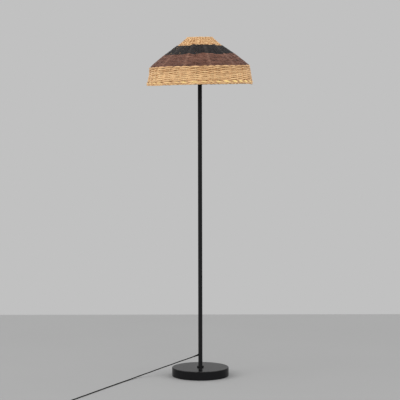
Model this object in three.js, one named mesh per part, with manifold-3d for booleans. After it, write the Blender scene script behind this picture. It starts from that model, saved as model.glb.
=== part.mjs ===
// Rattan floor lamp: a woven shade on a wire frame, a slim steel pole and a weighted round base.
// Millimetres, +Z up. The origin is on the floor, under the middle of the base.

import * as THREE from 'three';
import { mergeVertices } from 'three/addons/utils/BufferGeometryUtils.js';
import Module from 'manifold-3d';

const wasm = await Module();
wasm.setup();

// Whole lamp
const lampHeight = 1540;
const seat = 0.3;
const overrun = 2;

// Base
const baseDiameter = 259;
const baseHeight = 40;
const baseEdgeRadius = 4;
const baseWall = 1.5;
const baseRimLift = 1.5;
const feltThickness = 2;
const feltInset = 5;
const closingPlateThickness = 1.2;
const nutRecessDiameter = 36;
const nutRecessDepth = 17;
const studDiameter = 10;
const studReach = 24;
const studTail = 3;
const washerDiameter = 30;
const washerThickness = 2;
const nutWidth = 17;
const nutHeight = 8;

// Pole
const poleDiameter = 19;
const poleWall = 1.2;
const poleSectionCount = 3;
const collarDiameter = 31;
const collarHeight = 6;
const collarChamfer = 1.2;
const bushLength = 30;
const joinerLength = 44;
const bushChamfer = 1;
const nippleDiameter = 10;
const nippleRise = 6;

// Lead, its way out of the pole and the strain relief there
const leadDiameter = 4.6;
const leadExitHeight = 95;
const leadExitSlope = 20;
const leadBendReach = 6.5;
const leadClearance = 0.8;
const glandReach = 21;
const glandFlangeDiameter = 10.4;
const glandFlangeThickness = 1.8;
const glandNeckDiameter = 7.4;
const glandNeckDepth = 2.4;
const glandRootDiameter = 8;
const glandTipDiameter = 6.2;

// Route of the free lead from the strain relief to the foot switch, as it lies
const leadRoute = [
  [-53, 1, 79], [-77, 3, 70.3], [-101, 4, 62], [-125, 4, 53], [-149, 4, 44.6], [-171, 4, 37],
  [-192, 2, 29.6], [-212, -3, 23.2], [-233, -12, 17], [-253, -24, 12.2], [-272, -42, 8.3],
  [-290, -64, 5.5], [-307, -90, 3.6], [-323, -118, 2.6], [-340, -150, 2.3], [-364, -198, 2.3],
  [-396, -264, 2.3], [-427, -328, 2.3], [-457, -391, 2.3], [-487, -454, 2.3], [-516, -514, 2.3],
  [-545, -575, 2.3], [-571, -630, 2.3], [-580, -664, 2.3], [-574, -699, 2.3], [-555, -730, 2.3],
  [-528, -749, 3], [-508, -756, 5.2], [-491, -757, 7.3],
];
const leadSteps = 66;
const leadSides = 8;

// Foot switch in the lead
const switchPlace = [-420, -757];
const switchLength = 74;
const switchWidth = 38;
const switchHeight = 21;
const switchCorner = 15;
const switchEdge = 1.4;
const switchLeadHeight = 8;
const switchLeadDepth = 8;
const switchButtonDiameter = 24;
const switchButtonHeight = 9;
const switchButtonRise = 4;
const switchTravel = 3;
const switchButtonDome = 1.5;
const reliefLength = 20;
const reliefRootDiameter = 9.5;
const reliefTipDiameter = 6.4;

// Spare lead, wound in two layers, and the plug at its end
const coilPlaceX = -325;
const coilMeanDiameter = 54;
const coilLoops = 4.5;
const coilGap = 0.5;
const coilLift = 0.3;
const coilStepsPerLoop = 24;
const coilSides = 6;
const plugWidth = 35.3;
const plugRearWidth = 17;
const plugLength = 36;
const plugThickness = 14.6;
const plugShoulder = 12;
const plugEdge = 2.4;
const plugReliefLength = 22;
const plugReliefRootDiameter = 9.6;
const plugReliefTipDiameter = 6.4;
const pinDiameter = 4;
const pinLength = 19;
const pinSpacing = 18.6;
const pinRootDepth = 8;

// Lampholder
const holderDiameter = 40;
const holderWall = 2;
const holderWiringSpace = 12;
const holderCupFoot = 1.5;
const holderCupTaper = 11;
const coreThickness = 10;
const coreOverlap = 4;
const contactDiameter = 10;
const contactThickness = 1.2;
const screwShellWall = 0.5;
const screwShellDepth = 20;
const holderMouthDepth = 24;
const holderFlangeDiameter = 48;
const holderFlangeThickness = 2.5;
const holderFlangeHeight = 8;
const ringDiameter = 54;
const ringHeight = 9;
const ringGrips = 16;
const ringGripDepth = 1.2;

// Bulb
const bulbTopGap = 20;
const bulbLength = 108;
const bulbDiameter = 60;
const bulbCapDiameter = 26.4;
const bulbCapLength = 25;
const bulbCapFoot = 4;
const bulbCapFootDiameter = 12;
const bulbNeckInset = 0.7;

// Shade: outside diameters, and how far below the top each of them lies
const shadeTopDiameter = 111;
const shadeNeckDiameter = 198;
const shadeNeckDrop = 37.5;
const shadeMiddleDiameter = 321;
const shadeMiddleDrop = 77.3;
const shadeShoulderDiameter = 453;
const shadeShoulderDrop = 132.5;
const shadeRimDiameter = 477.2;
const shadeDepth = 215.2;
const neckRounding = 8;
const middleRounding = 14;
const shoulderRounding = 14;
const brownEdgeShift = 0.1;

// Weave
const stakeCount = 36;
const strandRowPitch = 7.2;
const weaveThickness = 3.6;
const weaveRelief = 0.9;
const borderTooth = 2.3;
const topBraidWidth = 9;
const rimBraidWidth = 18;
const braidBulge = 0.6;

// Wire frame in the shade
const ribCount = 12;
const firstRibAngle = 12;
const ribWire = 3.5;
const ribClearance = 0.7;
const ribBendSteps = 2;
const ringWire = 4;
const wireSides = 5;
const ringSteps = 36;
const ringEdgeInset = 6;
const ribEndInset = 2;
const spiderDiameter = 62;
const spiderThickness = 2;
const spiderArms = 3;
const spiderArmWire = 3.5;
const spiderLowReach = 12;
const spiderLowRise = 4;
const spiderKneeRise = 22;
const spiderKneeReach = 21;

// Faces on round pieces
const broadSides = 36;
const poleSides = 20;
const smallSides = 16;
const arcSteps = 3;

// Colours
const satinBlack = { color: 0x1b1b1c, roughness: 0.5, metalness: 0.1 };
const blackPlastic = { color: 0x141414, roughness: 0.45, metalness: 0 };
const softBlack = { color: 0x161616, roughness: 0.7, metalness: 0 };
const zincSteel = { color: 0xa8a9ab, roughness: 0.35, metalness: 0.9 };
const brass = { color: 0xc9a24e, roughness: 0.3, metalness: 0.9 };
const greyFelt = { color: 0x2a2a2c, roughness: 1, metalness: 0 };
const concrete = { color: 0x8d8a84, roughness: 0.95, metalness: 0 };
const glazedCore = { color: 0xe6e2d8, roughness: 0.3, metalness: 0 };
const opalGlass = { color: 0xf4f1ea, roughness: 0.25, metalness: 0 };
const naturalCane = { color: 0xcda97e, roughness: 0.65, metalness: 0 };
const blackCane = { color: 0x3b3635, roughness: 0.6, metalness: 0 };
const brownCane = { color: 0x735449, roughness: 0.6, metalness: 0 };

const lamp = new THREE.Group();

// Geometry helpers

// A closed mesh with shared vertices, no empty triangles, and its faces pointing out.
function tidied(geometry) {
  const bare = geometry.clone();
  bare.deleteAttribute('normal');
  bare.deleteAttribute('uv');
  const merged = mergeVertices(bare);
  const corners = merged.index.array;
  const kept = [];
  for (let i = 0; i < corners.length; i += 3) {
    const [a, b, c] = [corners[i], corners[i + 1], corners[i + 2]];
    if (a !== b && b !== c && c !== a) kept.push(a, b, c);
  }
  merged.setIndex(kept);
  if (signedVolume(merged) < 0) {
    for (let i = 0; i < kept.length; i += 3) [kept[i + 1], kept[i + 2]] = [kept[i + 2], kept[i + 1]];
    merged.setIndex(kept);
  }
  return merged;
}

function signedVolume(geometry) {
  const place = geometry.attributes.position;
  const corners = geometry.index.array;
  const [a, b, c] = [new THREE.Vector3(), new THREE.Vector3(), new THREE.Vector3()];
  let six = 0;
  for (let i = 0; i < corners.length; i += 3) {
    a.fromBufferAttribute(place, corners[i]);
    b.fromBufferAttribute(place, corners[i + 1]);
    c.fromBufferAttribute(place, corners[i + 2]);
    six += a.dot(b.cross(c));
  }
  return six / 6;
}

function solid(geometry) {
  const { attributes, index } = tidied(geometry);
  const vertProperties = Float32Array.from(attributes.position.array);
  const triVerts = Uint32Array.from(index.array);
  return new wasm.Manifold(new wasm.Mesh({ numProp: 3, vertProperties, triVerts }));
}

function geometryOf(body) {
  const { vertProperties, triVerts } = body.getMesh();
  const geometry = new THREE.BufferGeometry();
  geometry.setAttribute('position', new THREE.BufferAttribute(Float32Array.from(vertProperties), 3));
  geometry.setIndex(Array.from(triVerts));
  return geometry;
}

function cut(geometry, ...tools) {
  return geometryOf(tools.reduce((body, tool) => body.subtract(solid(tool)), solid(geometry)));
}

function joined(...geometries) {
  return geometryOf(geometries.map(solid).reduce((body, next) => body.add(next)));
}

// A body of revolution about Z. The outline is a list of [radius, height] and closes on itself.
function turned(outline, sides) {
  const points = [...outline, outline[0]].map(([radius, height]) => new THREE.Vector2(radius, height));
  return new THREE.LatheGeometry(points, sides).rotateX(Math.PI / 2);
}

function tubeOutline(inner, outer, low, high) {
  return [[outer, low], [outer, high], [inner, high], [inner, low]];
}

// The same with its two outer edges chamfered.
function bushOutline(inner, outer, low, high, chamfer) {
  return [
    [outer - chamfer, low], [outer, low + chamfer], [outer, high - chamfer], [outer - chamfer, high],
    [inner, high], [inner, low],
  ];
}

function rod(radius, low, high, sides) {
  const length = high - low;
  return new THREE.CylinderGeometry(radius, radius, length, sides)
    .rotateX(Math.PI / 2)
    .translate(0, 0, low + length / 2);
}

// Turns a piece built along +Z so that it runs along a direction from a point.
function aimed(geometry, from, direction) {
  const turn = new THREE.Quaternion().setFromUnitVectors(new THREE.Vector3(0, 0, 1), direction);
  return geometry.applyQuaternion(turn).translate(from.x, from.y, from.z);
}

// A path that steps exactly through its points.
class Route extends THREE.Curve {
  constructor(points) {
    super();
    this.points = points;
  }

  getPoint(share, target = new THREE.Vector3()) {
    const place = share * (this.points.length - 1);
    const i = Math.min(Math.floor(place), this.points.length - 2);
    return target.lerpVectors(this.points[i], this.points[i + 1], place - i);
  }

  getPointAt(share, target) {
    return this.getPoint(share, target);
  }

  getTangentAt(share, target = new THREE.Vector3()) {
    const last = this.points.length - 1;
    const i = Math.round(share * last);
    const before = this.points[Math.max(i - 1, 0)];
    const after = this.points[Math.min(i + 1, last)];
    return target.subVectors(after, before).normalize();
  }
}

function roundSection(radius, sides) {
  const corner = (i) => (2 * Math.PI * (i + 0.5)) / sides;
  const points = Array.from({ length: sides }, (_, i) => (
    new THREE.Vector2(radius * Math.cos(corner(i)), radius * Math.sin(corner(i)))
  ));
  return new THREE.Shape(points);
}

function wireAlong(points, radius, sides) {
  return new THREE.ExtrudeGeometry(roundSection(radius, sides), {
    steps: points.length - 1,
    extrudePath: new Route(points),
  });
}

function addPiece(name, geometry, finish) {
  const mesh = new THREE.Mesh(tidied(geometry), new THREE.MeshStandardMaterial(finish));
  mesh.name = name;
  lamp.add(mesh);
  return mesh;
}

// Base

const baseRadius = baseDiameter / 2;
const studRadius = studDiameter / 2;
const coverInside = baseRadius - baseWall;
const plateLow = feltThickness + seat;
const weightLow = plateLow + closingPlateThickness + seat;
const weightHigh = baseHeight - baseWall - seat;
const recessTop = weightLow + nutRecessDepth;
const washerLow = recessTop - seat - washerThickness;
const nutLow = washerLow - seat - nutHeight;

// Pressed steel cover, open below, with a rounded upper edge and a hole for the stud.
function baseCover() {
  const centre = [baseRadius - baseEdgeRadius, baseHeight - baseEdgeRadius];
  const edge = Array.from({ length: arcSteps + 1 }, (_, i) => {
    const angle = (Math.PI / 2) * (i / arcSteps);
    return [centre[0] + baseEdgeRadius * Math.cos(angle), centre[1] + baseEdgeRadius * Math.sin(angle)];
  });
  const ceiling = baseHeight - baseWall;
  const hole = studRadius + seat;
  return turned([
    [baseRadius, baseRimLift], ...edge, [hole, baseHeight], [hole, ceiling],
    [coverInside - baseEdgeRadius + baseWall, ceiling], [coverInside, baseHeight - baseEdgeRadius],
    [coverInside, baseRimLift],
  ], broadSides);
}

// Cast weight with a recess below for the nut.
function baseWeight() {
  const outer = coverInside - seat;
  const recess = nutRecessDiameter / 2;
  const hole = studRadius + seat;
  const shoulder = baseHeight - baseEdgeRadius - seat;
  return turned([
    [recess, weightLow], [outer, weightLow], [outer, shoulder],
    [outer - baseEdgeRadius + baseWall, weightHigh], [hole, weightHigh], [hole, recessTop], [recess, recessTop],
  ], broadSides);
}

function disc(radius, low, high, sides) {
  return turned([[0, low], [radius, low], [radius, high], [0, high]], sides);
}

function hexNut() {
  const corner = nutWidth / 2 / Math.cos(Math.PI / 6);
  const body = rod(corner, nutLow, nutLow + nutHeight, 6);
  return cut(body, rod(studRadius + seat, nutLow - overrun, nutLow + nutHeight + overrun, smallSides));
}

addPiece('base_cover', baseCover(), satinBlack);
addPiece('base_weight', baseWeight(), concrete);
addPiece('base_plate', disc(coverInside - seat, plateLow, plateLow + closingPlateThickness, broadSides), zincSteel);
addPiece('base_felt', disc(baseRadius - feltInset, 0, feltThickness, broadSides), greyFelt);
addPiece('base_washer', turned(tubeOutline(
  studRadius + seat, washerDiameter / 2, washerLow, washerLow + washerThickness,
), smallSides), zincSteel);
addPiece('base_nut', hexNut(), zincSteel);
addPiece('base_stud', rod(studRadius, nutLow - studTail, baseHeight + studReach, smallSides), zincSteel);

// Bulb and lampholder heights, worked down from the top of the shade

const bulbTop = lampHeight - bulbTopGap;
const bulbFoot = bulbTop - bulbLength;
const contactLow = bulbFoot - seat - contactThickness;
const coreHigh = contactLow - seat;
const coreLow = coreHigh - coreThickness;
const cupFloor = coreLow - seat - holderWiringSpace;
const cupLow = cupFloor - holderWall;
const cupHigh = coreHigh - coreOverlap;
const poleTop = cupLow - seat;

// Pole

const poleRadius = poleDiameter / 2;
const poleBore = poleRadius - poleWall;
const poleFoot = baseHeight + seat;
const sectionPitch = (poleTop + seat - poleFoot) / poleSectionCount;
const leadRadius = leadDiameter / 2;
const leadBore = leadRadius + leadClearance;
const slope = THREE.MathUtils.degToRad(leadExitSlope);
const glandDirection = new THREE.Vector3(-Math.cos(slope), 0, -Math.sin(slope));
const glandPlace = new THREE.Vector3(-poleRadius, 0, leadExitHeight);

function poleSection(index) {
  const low = poleFoot + index * sectionPitch;
  return turned(tubeOutline(poleBore, poleRadius, low, low + sectionPitch - seat), poleSides);
}

function leadHole() {
  const tool = rod(glandNeckDiameter / 2 + seat, -poleRadius, overrun, smallSides);
  return aimed(tool, glandPlace, glandDirection);
}

function joiner(index) {
  const middle = poleFoot + index * sectionPitch - seat / 2;
  return turned(bushOutline(
    leadBore, poleBore - seat, middle - joinerLength / 2, middle + joinerLength / 2, bushChamfer,
  ), smallSides);
}

// Bush pressed into the top of the pole, with the hollow nipple that carries the lampholder.
function topBush() {
  const outer = poleBore - seat;
  const low = poleTop - bushLength;
  const nipple = nippleDiameter / 2;
  return turned([
    [outer - bushChamfer, low], [outer, low + bushChamfer], [outer, poleTop], [nipple, poleTop],
    [nipple, cupFloor + nippleRise], [leadBore, cupFloor + nippleRise], [leadBore, low],
  ], smallSides);
}

addPiece('pole_collar', turned([
  [collarDiameter / 2, poleFoot], [collarDiameter / 2, poleFoot + collarHeight - collarChamfer],
  [collarDiameter / 2 - collarChamfer, poleFoot + collarHeight], [poleRadius + seat, poleFoot + collarHeight],
  [poleRadius + seat, poleFoot],
], poleSides), satinBlack);
addPiece('pole_foot_bush', turned(bushOutline(
  studRadius + seat, poleBore - seat, poleFoot, poleFoot + bushLength, bushChamfer,
), smallSides), zincSteel);
addPiece('pole_lower', cut(poleSection(0), leadHole()), satinBlack);
addPiece('pole_middle', poleSection(1), satinBlack);
addPiece('pole_upper', poleSection(2), satinBlack);
addPiece('pole_joiner_lower', joiner(1), zincSteel);
addPiece('pole_joiner_upper', joiner(2), zincSteel);
addPiece('pole_top_bush', topBush(), zincSteel);

// Lead inside the pole: in through the strain relief, round a bend and up to the lampholder.
function innerLead() {
  const corner = new THREE.Vector3(0, 0, leadExitHeight + poleRadius * Math.tan(slope));
  const outerEnd = glandPlace.clone().addScaledVector(glandDirection, glandReach);
  const bendIn = corner.clone().addScaledVector(glandDirection, leadBendReach);
  const bendOut = corner.clone().setZ(corner.z + leadBendReach);
  const bend = new THREE.QuadraticBezierCurve3(bendIn, corner, bendOut);
  const top = new THREE.Vector3(0, 0, coreLow - seat);
  return wireAlong([outerEnd, ...bend.getPoints(arcSteps + arcSteps), top], leadRadius, leadSides);
}

// Rubber strain relief: a saddle flange on the pole, a neck through its wall and a tapered sleeve.
function leadGland() {
  const flange = glandFlangeDiameter / 2;
  const root = glandRootDiameter / 2;
  const tip = glandTipDiameter / 2;
  const neck = glandNeckDiameter / 2;
  const body = aimed(turned([
    [0, -flange], [flange, -flange], [flange, glandFlangeThickness], [root, glandFlangeThickness],
    [tip, glandReach], [0, glandReach],
  ], smallSides), glandPlace, glandDirection);
  const pole = rod(poleRadius + seat, leadExitHeight - poleDiameter, leadExitHeight + poleDiameter, poleSides);
  const neckPiece = aimed(disc(neck, -glandNeckDepth, glandFlangeThickness, smallSides), glandPlace, glandDirection);
  const bore = rod(leadRadius + seat, -poleRadius, glandReach + overrun, smallSides);
  return cut(joined(cut(body, pole), neckPiece), aimed(bore, glandPlace, glandDirection));
}

addPiece('inner_lead', innerLead(), softBlack);
addPiece('lead_gland', leadGland(), softBlack);

// Free lead

const coilPitch = leadDiameter + coilGap;
const coilLow = leadRadius + coilLift;
const coilOuterRadius = coilMeanDiameter / 2 + (coilPitch * coilLoops) / 4;
const coilCentre = new THREE.Vector2(coilPlaceX, switchPlace[1] + coilOuterRadius);
const switchNear = switchPlace[0] - switchLength / 2;
const switchFar = switchPlace[0] + switchLength / 2;

function at(x, y, z) {
  return new THREE.Vector3(x, y, z);
}

function smoothed(points, steps) {
  return new THREE.CatmullRomCurve3(points, false, 'centripetal').getSpacedPoints(steps);
}

// From the strain relief to the terminals of the foot switch, straight inside the switch's sleeve.
function leadRun() {
  const start = glandPlace.clone().addScaledVector(glandDirection, glandReach + seat);
  const sleeveEnd = switchNear - reliefLength;
  const free = [
    start, start.clone().addScaledVector(glandDirection, leadDiameter),
    ...leadRoute.map(([x, y, z]) => at(x, y, z)),
    at(sleeveEnd - leadDiameter, switchPlace[1], switchLeadHeight),
    at(sleeveEnd, switchPlace[1], switchLeadHeight),
  ];
  const end = at(switchNear + switchLeadDepth - seat, switchPlace[1], switchLeadHeight);
  return wireAlong([...smoothed(free, leadSteps), end], leadRadius, leadSides);
}

// From the foot switch, straight inside its sleeve, down to the start of the coil.
function leadTail() {
  const start = at(switchFar - switchLeadDepth + seat, switchPlace[1], switchLeadHeight);
  const end = coilCentre.x - leadDiameter - seat;
  const sleeveEnd = switchFar + reliefLength;
  const free = [
    at(sleeveEnd, switchPlace[1], switchLeadHeight),
    at(sleeveEnd + leadDiameter, switchPlace[1], switchLeadHeight),
    at((sleeveEnd + end) / 2, switchPlace[1], (switchLeadHeight + coilLow) / 2),
    at(end - leadDiameter, switchPlace[1], coilLow),
    at(end, switchPlace[1], coilLow),
  ];
  return wireAlong([start, ...smoothed(free, 2 * arcSteps)], leadRadius, leadSides);
}

// The coil spirals in on the floor, climbs in the half turn where it reverses, and spirals out on top.
function coilPoints() {
  const count = Math.round(coilLoops * coilStepsPerLoop);
  const points = [];
  for (let i = 0; i <= count; i += 1) {
    const turns = (i / count) * coilLoops;
    const angle = 2 * Math.PI * turns - Math.PI / 2;
    const radius = coilOuterRadius - coilPitch * Math.min(turns, coilLoops - turns);
    const climb = THREE.MathUtils.clamp((turns - coilLoops / 2) * 2 + 1 / 2, 0, 1);
    points.push(at(
      coilCentre.x + radius * Math.cos(angle), coilCentre.y + radius * Math.sin(angle),
      coilLow + coilPitch * climb,
    ));
  }
  const first = points[0];
  const last = points[count];
  const lead = Math.sign(Math.cos(2 * Math.PI * coilLoops)) * leadDiameter;
  return [at(first.x - leadDiameter, first.y, first.z), ...points, at(last.x + lead, last.y, last.z)];
}

// The least space between one turn of the coil and another.
function leastSelfGap(points) {
  const near = Math.round(coilStepsPerLoop / 2);
  let least = Infinity;
  for (let i = 0; i < points.length; i += 1) {
    for (let j = i + near; j < points.length; j += 1) {
      least = Math.min(least, points[i].distanceTo(points[j]) - leadDiameter);
    }
  }
  return least;
}

const coil = coilPoints();
console.log(`least gap in the coil: ${leastSelfGap(coil).toFixed(2)} mm`);
addPiece('lead_run', leadRun(), softBlack);
addPiece('lead_tail', leadTail(), softBlack);
addPiece('lead_coil', wireAlong(coil, leadRadius, coilSides), softBlack);

// Foot switch

function roundedSlab(low, high) {
  const [x, y] = [switchLength / 2, switchWidth / 2];
  const r = switchCorner;
  const shape = new THREE.Shape();
  shape.moveTo(x, y - r);
  shape.absarc(x - r, y - r, r, 0, Math.PI / 2);
  shape.absarc(r - x, y - r, r, Math.PI / 2, Math.PI);
  shape.absarc(r - x, r - y, r, Math.PI, (3 * Math.PI) / 2);
  shape.absarc(x - r, r - y, r, (3 * Math.PI) / 2, 2 * Math.PI);
  return new THREE.ExtrudeGeometry(shape, {
    depth: high - low - 2 * switchEdge,
    curveSegments: arcSteps,
    bevelEnabled: true,
    bevelThickness: switchEdge,
    bevelSize: switchEdge,
    bevelOffset: -switchEdge,
    bevelSegments: 1,
  }).translate(switchPlace[0], switchPlace[1], low + switchEdge);
}

function leadHoleInSwitch(from, to) {
  const tool = rod(leadRadius + seat, from, to, smallSides).rotateY(Math.PI / 2);
  return tool.translate(0, switchPlace[1], switchLeadHeight);
}

function switchHalf(low, high) {
  return cut(
    roundedSlab(low, high),
    leadHoleInSwitch(switchNear - overrun, switchNear + switchLeadDepth),
    leadHoleInSwitch(switchFar - switchLeadDepth, switchFar + overrun),
  );
}

const buttonHigh = switchHeight + switchButtonRise;
const buttonLow = buttonHigh - switchButtonHeight;

function buttonWell() {
  const floor = buttonLow - switchTravel - seat;
  const tool = rod(switchButtonDiameter / 2 + seat, floor, switchHeight + overrun, smallSides);
  return tool.translate(switchPlace[0], switchPlace[1], 0);
}

function switchButton() {
  const radius = switchButtonDiameter / 2;
  return turned([
    [0, buttonLow], [radius, buttonLow], [radius, buttonHigh - switchButtonDome],
    [radius - switchButtonDome, buttonHigh - switchButtonDome / 2], [radius / 2, buttonHigh], [0, buttonHigh],
  ], smallSides).translate(switchPlace[0], switchPlace[1], 0);
}

// Tapered sleeve that holds the lead where it enters the switch, built along +Z from its root.
function switchRelief(rootX, heading) {
  const inner = leadRadius + seat;
  const sleeve = turned([
    [inner, seat], [reliefRootDiameter / 2, seat], [reliefTipDiameter / 2, reliefLength], [inner, reliefLength],
  ], smallSides);
  return aimed(sleeve, at(rootX, switchPlace[1], switchLeadHeight), at(heading, 0, 0));
}

addPiece('switch_base', switchHalf(seat, switchLeadHeight - seat / 2), blackPlastic);
addPiece('switch_cover', cut(switchHalf(switchLeadHeight + seat / 2, switchHeight), buttonWell()), blackPlastic);
addPiece('switch_button', switchButton(), blackPlastic);
addPiece('switch_relief_near', switchRelief(switchNear, -1), softBlack);
addPiece('switch_relief_far', switchRelief(switchFar, 1), softBlack);

// Plug, lying flat beside the coil with its pins away from it

const coilEnd = coil[coil.length - 1];
const plugHeading = Math.sign(coilEnd.x - coil[coil.length - 2].x);

// The plug is drawn along +X from its strain relief and turned to its heading.
function placedPlug(geometry) {
  if (plugHeading < 0) geometry.rotateZ(Math.PI);
  return geometry.translate(coilEnd.x + plugHeading * seat, coilEnd.y, coilEnd.z);
}

function plugPin(side) {
  const end = plugReliefLength + plugLength;
  return rod(pinDiameter / 2, end - pinRootDepth, end + pinLength, leadSides)
    .rotateY(Math.PI / 2)
    .translate(0, side * pinSpacing / 2, 0);
}

function pinSocket(side) {
  const end = plugReliefLength + plugLength;
  return rod(pinDiameter / 2 + seat, end - pinRootDepth - seat, end + overrun, smallSides)
    .rotateY(Math.PI / 2)
    .translate(0, side * pinSpacing / 2, 0);
}

function plugBody() {
  const [face, rear] = [plugWidth / 2 - plugEdge, plugRearWidth / 2 - plugEdge];
  const [start, end] = [plugReliefLength + plugEdge, plugReliefLength + plugLength - plugEdge];
  const shape = new THREE.Shape();
  shape.moveTo(start, -rear);
  shape.quadraticCurveTo(start + plugShoulder, -face, start + 2 * plugShoulder, -face);
  shape.lineTo(end, -face);
  shape.lineTo(end, face);
  shape.lineTo(start + 2 * plugShoulder, face);
  shape.quadraticCurveTo(start + plugShoulder, face, start, rear);
  const block = new THREE.ExtrudeGeometry(shape, {
    depth: plugThickness - 2 * plugEdge,
    curveSegments: arcSteps,
    bevelEnabled: true,
    bevelThickness: plugEdge,
    bevelSize: plugEdge,
    bevelSegments: 2,
  }).translate(0, 0, plugEdge - plugThickness / 2);
  const sleeve = turned([
    [0, 0], [plugReliefTipDiameter / 2, 0], [plugReliefRootDiameter / 2, plugReliefLength + plugEdge],
    [0, plugReliefLength + plugEdge],
  ], smallSides).rotateY(Math.PI / 2);
  return cut(joined(block, sleeve), pinSocket(-1), pinSocket(1));
}

addPiece('plug_body', placedPlug(plugBody()), softBlack);
addPiece('plug_pin_1', placedPlug(plugPin(-1)), zincSteel);
addPiece('plug_pin_2', placedPlug(plugPin(1)), zincSteel);

// Lampholder

const holderRadius = holderDiameter / 2;
const shellLow = cupHigh + seat;
const shellHigh = bulbFoot + holderMouthDepth;
const flangeLow = shellLow + holderFlangeHeight;
const flangeHigh = flangeLow + holderFlangeThickness;
const screwInside = bulbCapDiameter / 2 + seat;
const holderBore = screwInside + screwShellWall + seat;

// Cup that stands on the pole and hides the terminals.
function holderCup() {
  const foot = poleRadius + holderCupFoot;
  const inner = holderRadius - holderWall;
  return turned([
    [nippleDiameter / 2 + seat, cupLow], [foot, cupLow], [holderRadius, cupLow + holderCupTaper],
    [holderRadius, cupHigh], [inner, cupHigh], [inner, cupLow + holderCupTaper + holderWall / 2],
    [foot - holderWall / 2, cupFloor], [nippleDiameter / 2 + seat, cupFloor],
  ], poleSides);
}

// Outer shell with the flange that the shade's spider rests on.
function holderShell() {
  const outer = holderRadius;
  const flange = holderFlangeDiameter / 2;
  const floor = coreHigh + seat;
  const pocket = holderRadius - holderWall;
  return turned([
    [pocket, shellLow], [outer, shellLow], [outer, flangeLow], [flange, flangeLow], [flange, flangeHigh],
    [outer, flangeHigh], [outer, shellHigh], [holderBore, shellHigh], [holderBore, floor], [pocket, floor],
  ], poleSides);
}

// Threaded ring with finger grips that clamps the spider on the flange.
function holderRing() {
  const outer = ringDiameter / 2;
  const points = [];
  for (let i = 0; i < 2 * ringGrips; i += 1) {
    const angle = (Math.PI * i) / ringGrips;
    const radius = outer - (i % 2) * ringGripDepth;
    points.push(new THREE.Vector2(radius * Math.cos(angle), radius * Math.sin(angle)));
  }
  const shape = new THREE.Shape(points);
  const low = flangeHigh + seat + spiderThickness + seat;
  const body = new THREE.ExtrudeGeometry(shape, { depth: ringHeight, bevelEnabled: false }).translate(0, 0, low);
  return cut(body, rod(holderRadius + seat, low - overrun, low + ringHeight + overrun, poleSides));
}

addPiece('holder_cup', holderCup(), blackPlastic);
addPiece('holder_core', disc(holderRadius - holderWall - seat, coreLow, coreHigh, poleSides), glazedCore);
addPiece('holder_contact', disc(contactDiameter / 2, contactLow, contactLow + contactThickness, smallSides), brass);
addPiece('holder_screw_shell', turned(tubeOutline(
  screwInside, screwInside + screwShellWall, coreHigh + seat, bulbFoot + screwShellDepth,
), smallSides), brass);
addPiece('holder_shell', holderShell(), blackPlastic);
addPiece('holder_ring', holderRing(), blackPlastic);

// Bulb

const capRadius = bulbCapDiameter / 2;

function bulbCap() {
  const foot = bulbCapFootDiameter / 2;
  const low = bulbFoot + bulbCapFoot;
  const high = bulbFoot + bulbCapLength;
  return turned([[0, bulbFoot], [foot, bulbFoot], [capRadius, low], [capRadius, high], [0, high]], smallSides);
}

function bulbGlobe() {
  const radius = bulbDiameter / 2;
  const centre = bulbTop - radius;
  const low = bulbFoot + bulbCapLength + seat;
  const neck = capRadius - bulbNeckInset;
  const widest = new THREE.Vector2(radius, centre);
  const side = new THREE.CubicBezierCurve(
    new THREE.Vector2(neck, low), new THREE.Vector2(neck, low + (centre - low) / 2),
    new THREE.Vector2(radius, centre - radius / 2), widest,
  ).getPoints(2 * arcSteps);
  const dome = Array.from({ length: 2 * arcSteps }, (_, i) => {
    const angle = (Math.PI / 2) * ((i + 1) / (2 * arcSteps));
    return [radius * Math.cos(angle), centre + radius * Math.sin(angle)];
  });
  return turned([[0, low], ...side.map((p) => [p.x, p.y]), ...dome], poleSides);
}

addPiece('bulb_cap', bulbCap(), brass);
addPiece('bulb_globe', bulbGlobe(), opalGlass);

// Shade outline: the outer surface from the top edge down to the rim, with softened corners

const shadeOutline = new THREE.Path();

function shadeCorner(diameter, drop) {
  return new THREE.Vector2(diameter / 2, lampHeight - drop);
}

function drawShadeOutline() {
  const start = shadeCorner(shadeTopDiameter, 0);
  const corners = [
    { at: shadeCorner(shadeNeckDiameter, shadeNeckDrop), rounding: neckRounding },
    { at: shadeCorner(shadeMiddleDiameter, shadeMiddleDrop), rounding: middleRounding },
    { at: shadeCorner(shadeShoulderDiameter, shadeShoulderDrop), rounding: shoulderRounding },
  ];
  const end = shadeCorner(shadeRimDiameter, shadeDepth);
  shadeOutline.moveTo(start.x, start.y);
  corners.forEach((corner, i) => {
    const before = i > 0 ? corners[i - 1].at : start;
    const after = i < corners.length - 1 ? corners[i + 1].at : end;
    const from = corner.at.clone().add(before.clone().sub(corner.at).setLength(corner.rounding));
    const to = corner.at.clone().add(after.clone().sub(corner.at).setLength(corner.rounding));
    shadeOutline.lineTo(from.x, from.y);
    shadeOutline.quadraticCurveTo(corner.at.x, corner.at.y, to.x, to.y);
  });
  shadeOutline.lineTo(end.x, end.y);
}

drawShadeOutline();
const shadeLength = shadeOutline.getLength();
const outlineEnds = shadeOutline.getCurveLengths();
const neckSlant = bendMiddle(0);
const middleSlant = bendMiddle(1);
const shoulderSlant = bendMiddle(2);
const brownSlant = shoulderSlant + brownEdgeShift;
const rimBraidSlant = shadeLength - rimBraidWidth;

// How far down the outline the middle of a corner lies. Straight runs and corners follow by turns.
function bendMiddle(bend) {
  return (outlineEnds[2 * bend] + outlineEnds[2 * bend + 1]) / 2;
}

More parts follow.
